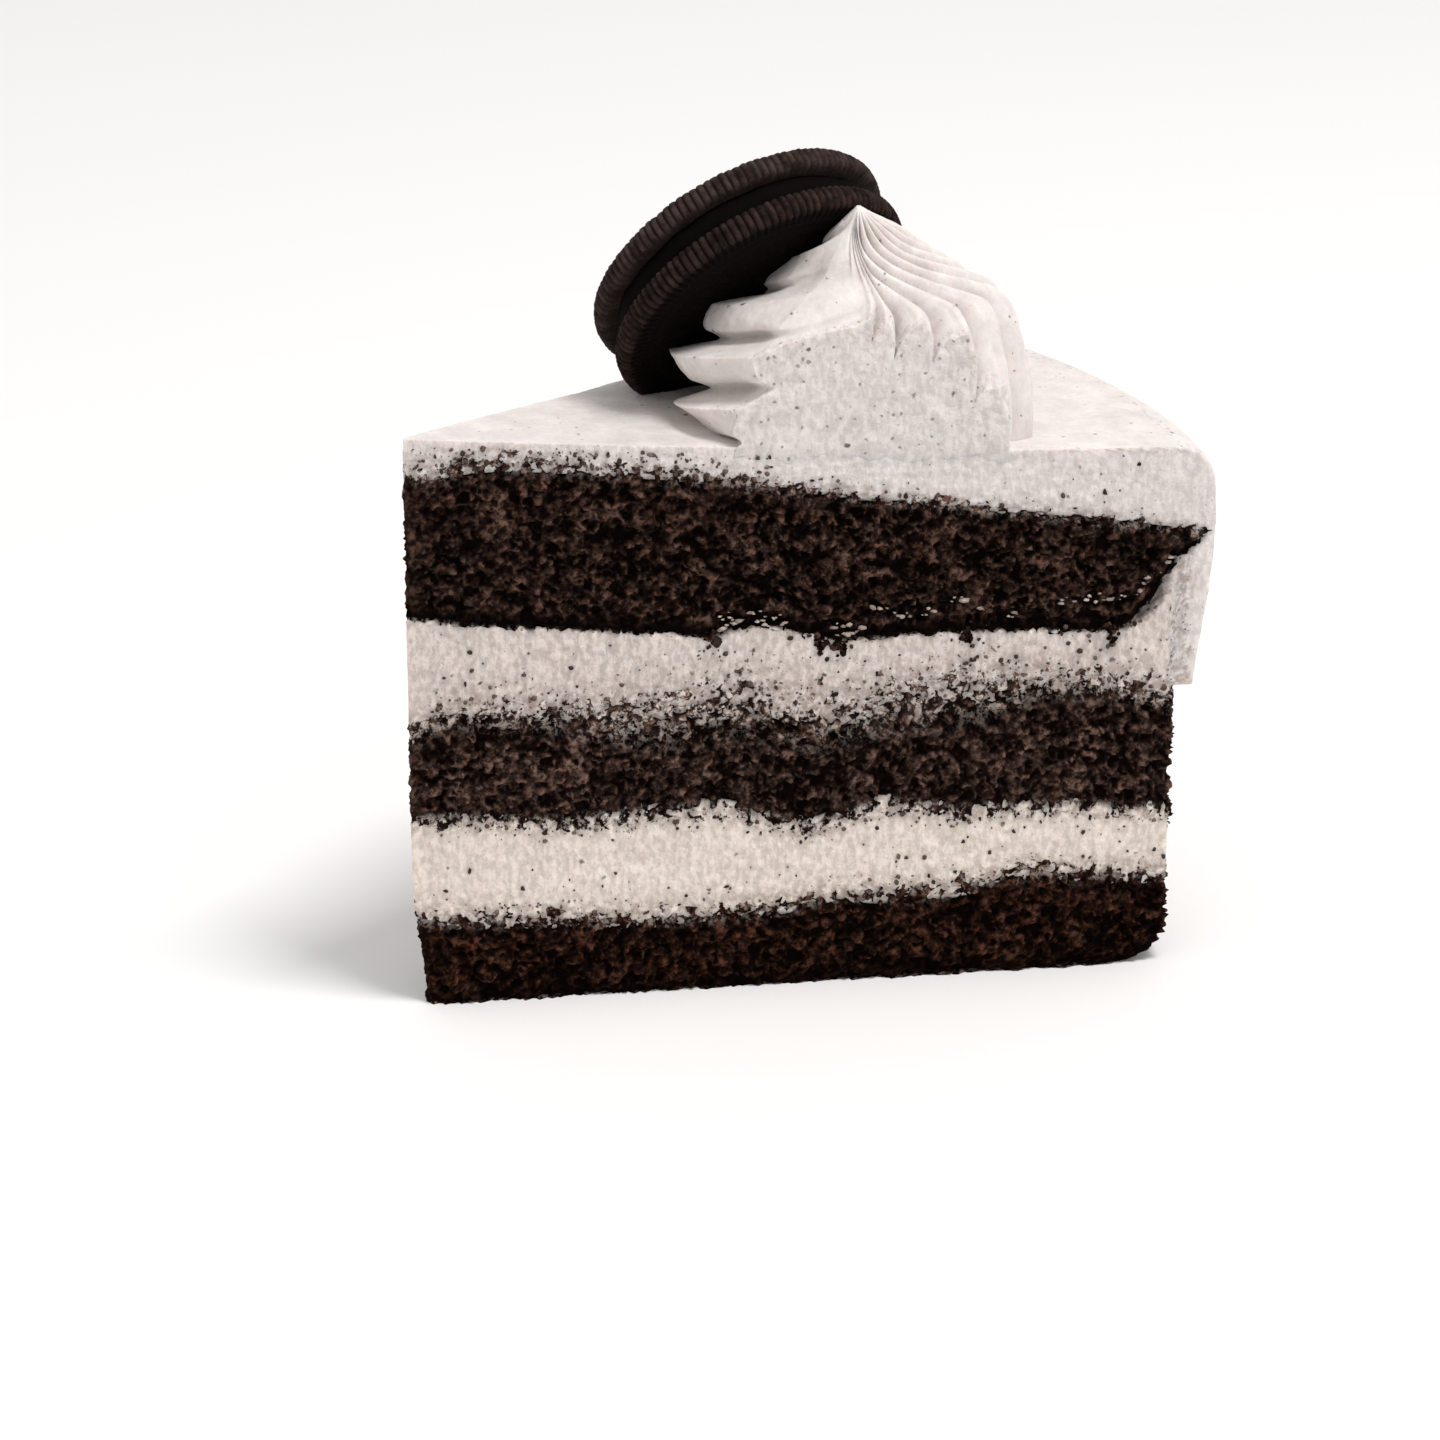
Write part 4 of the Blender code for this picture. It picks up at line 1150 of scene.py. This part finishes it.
# %% Cream and frosting
CUT_SPECK, FAINT_SPECK, EDGE_SPECK = (0.17, 0.138, 0.122), (0.34, 0.302, 0.28), (0.15, 0.115, 0.098)


def cream_finish(name, light, dark, share, spacing):
    """Cloudy cream, curdled and specked on the cuts, and dusty where crumb was smeared into it."""
    finish, tree, shader = new_finish(name, 0.55, 0.3)
    shader.inputs["Subsurface Weight"].default_value = 0.5
    shader.inputs["Subsurface Radius"].default_value = (1.0, 0.72, 0.55)
    shader.inputs["Subsurface Scale"].default_value = 1.2 * MM
    cut, edge_mix = maths(tree, "MULTIPLY_ADD", noted(tree, "cut"), 0.7, 0.3), noted(tree, "edge_mix")
    curdled = mottled(tree, 0.9, 2.2, light, dark, drag=0.5)
    tone = mix_colours(tree, multiplied(tree, cut, 0.55), mottled(tree, 5.0, 0.7, light, dark), curdled)
    dusty = multiplied(tree, edge_mix, mottled(tree, 1.3, 2.2))
    tone = mix_colours(tree, multiplied(tree, dusty, 0.75), tone, (0.33, 0.262, 0.232))
    for kind_spacing, kind_share, size, colour in (
        (spacing, multiplied(tree, cut, share), 0.29, CUT_SPECK),
        (0.5 * spacing, multiplied(tree, cut, 1.2 * share), 0.38, FAINT_SPECK),
        (0.9, multiplied(tree, edge_mix, 0.7), 0.50, EDGE_SPECK),
    ):
        mask = use_group(tree, specks, {"Spacing": kind_spacing, "Share": kind_share, "Size": size})
        tone = mix_colours(tree, mask, tone, colour)
    fine = multiplied(tree, use_group(tree, grain, {"Size": 1.2, "Pores": 0.4}), cut)
    finish_surface(tree, shader, tone, fine, strength=0.8, depth=0.5)
    return finish


frosting_finish = cream_finish("speckled_frosting", (0.80, 0.75, 0.725), (0.58, 0.53, 0.51), 0.30, 1.8)
frosting.data.materials.append(frosting_finish)
swirl.data.materials.append(frosting_finish)
for cream, light, dark in (
    (cream_lower, (0.90, 0.815, 0.75), (0.58, 0.51, 0.455)),
    (cream_upper, (0.81, 0.73, 0.685), (0.47, 0.41, 0.38)),
):
    cream.data.materials.append(cream_finish(cream.name + "_finish", light, dark, 0.25, 2.2))
print("3 cream finishes")

# %% [markdown]
# The wafers are baked dark cocoa dough, dry and nearly black. Their rims, the tops of the rim's teeth and the
# raised pattern of the rear one are painted lighter brown as light, and the faces inside the rims are painted
# nearly black as shade. The front wafer, which lies in shade, is painted darker than the rear one. Crumbs,
# the biscuit's filling and the bits of cream are dry in the same way, each in its own colours.

# %% Wafers, filling, crumbs and bits of cream
def dry_finish(name, light, dark, inner):
    """A dry surface. The light and dark colours show where a mesh notes 1, the inner one where it notes 0."""
    finish, tree, shader = new_finish(name, 0.8, 0.05)
    tone = mix_colours(tree, noted(tree, "raised"), inner, mottled(tree, 1.8, 1.3, light, dark))
    fine = use_group(tree, grain, {"Size": 0.4, "Pores": 0.5})
    finish_surface(tree, shader, tone, fine, strength=0.5, depth=0.2)
    return finish


# The front wafer lies in shade, so its colours are a darker copy of the rear wafer's: painted shade. Its
# inner colour, on the face, is nearly black as shade.
for piece, name, light, dark, inner in (
    (wafers[0], "front_wafer", (0.040, 0.024, 0.021), (0.010, 0.006, 0.005), (0.004, 0.0025, 0.002)),
    (wafers[1], "back_wafer", (0.058, 0.040, 0.036), (0.018, 0.011, 0.010), (0.019, 0.012, 0.0105)),
    (filling, "biscuit_cream", (0.004, 0.003, 0.0025), (0.002, 0.001, 0.001), (0.002, 0.001, 0.001)),
    (crumbs, "crumb", (0.24, 0.18, 0.15), (0.060, 0.040, 0.032), (0.030, 0.019, 0.015)),
    (bits, "bit", (0.70, 0.61, 0.56), (0.38, 0.31, 0.275), (0.24, 0.185, 0.16)),
):
    piece.data.materials.append(dry_finish(name + "_finish", light, dark, inner))
torn_lumps.data.materials.append(sponge_top.data.materials[0])
print(len(bpy.data.materials), "materials so far")

# %% Floor
finish, tree, shader = new_finish("pale_floor", 0.8)
tone = mottled(tree, 400.0, 0.3, (0.88, 0.875, 0.87), (0.86, 0.855, 0.85))
tree.links.new(tone, shader.inputs["Base Color"])
floor.data.materials.append(finish)
print("floor finished")
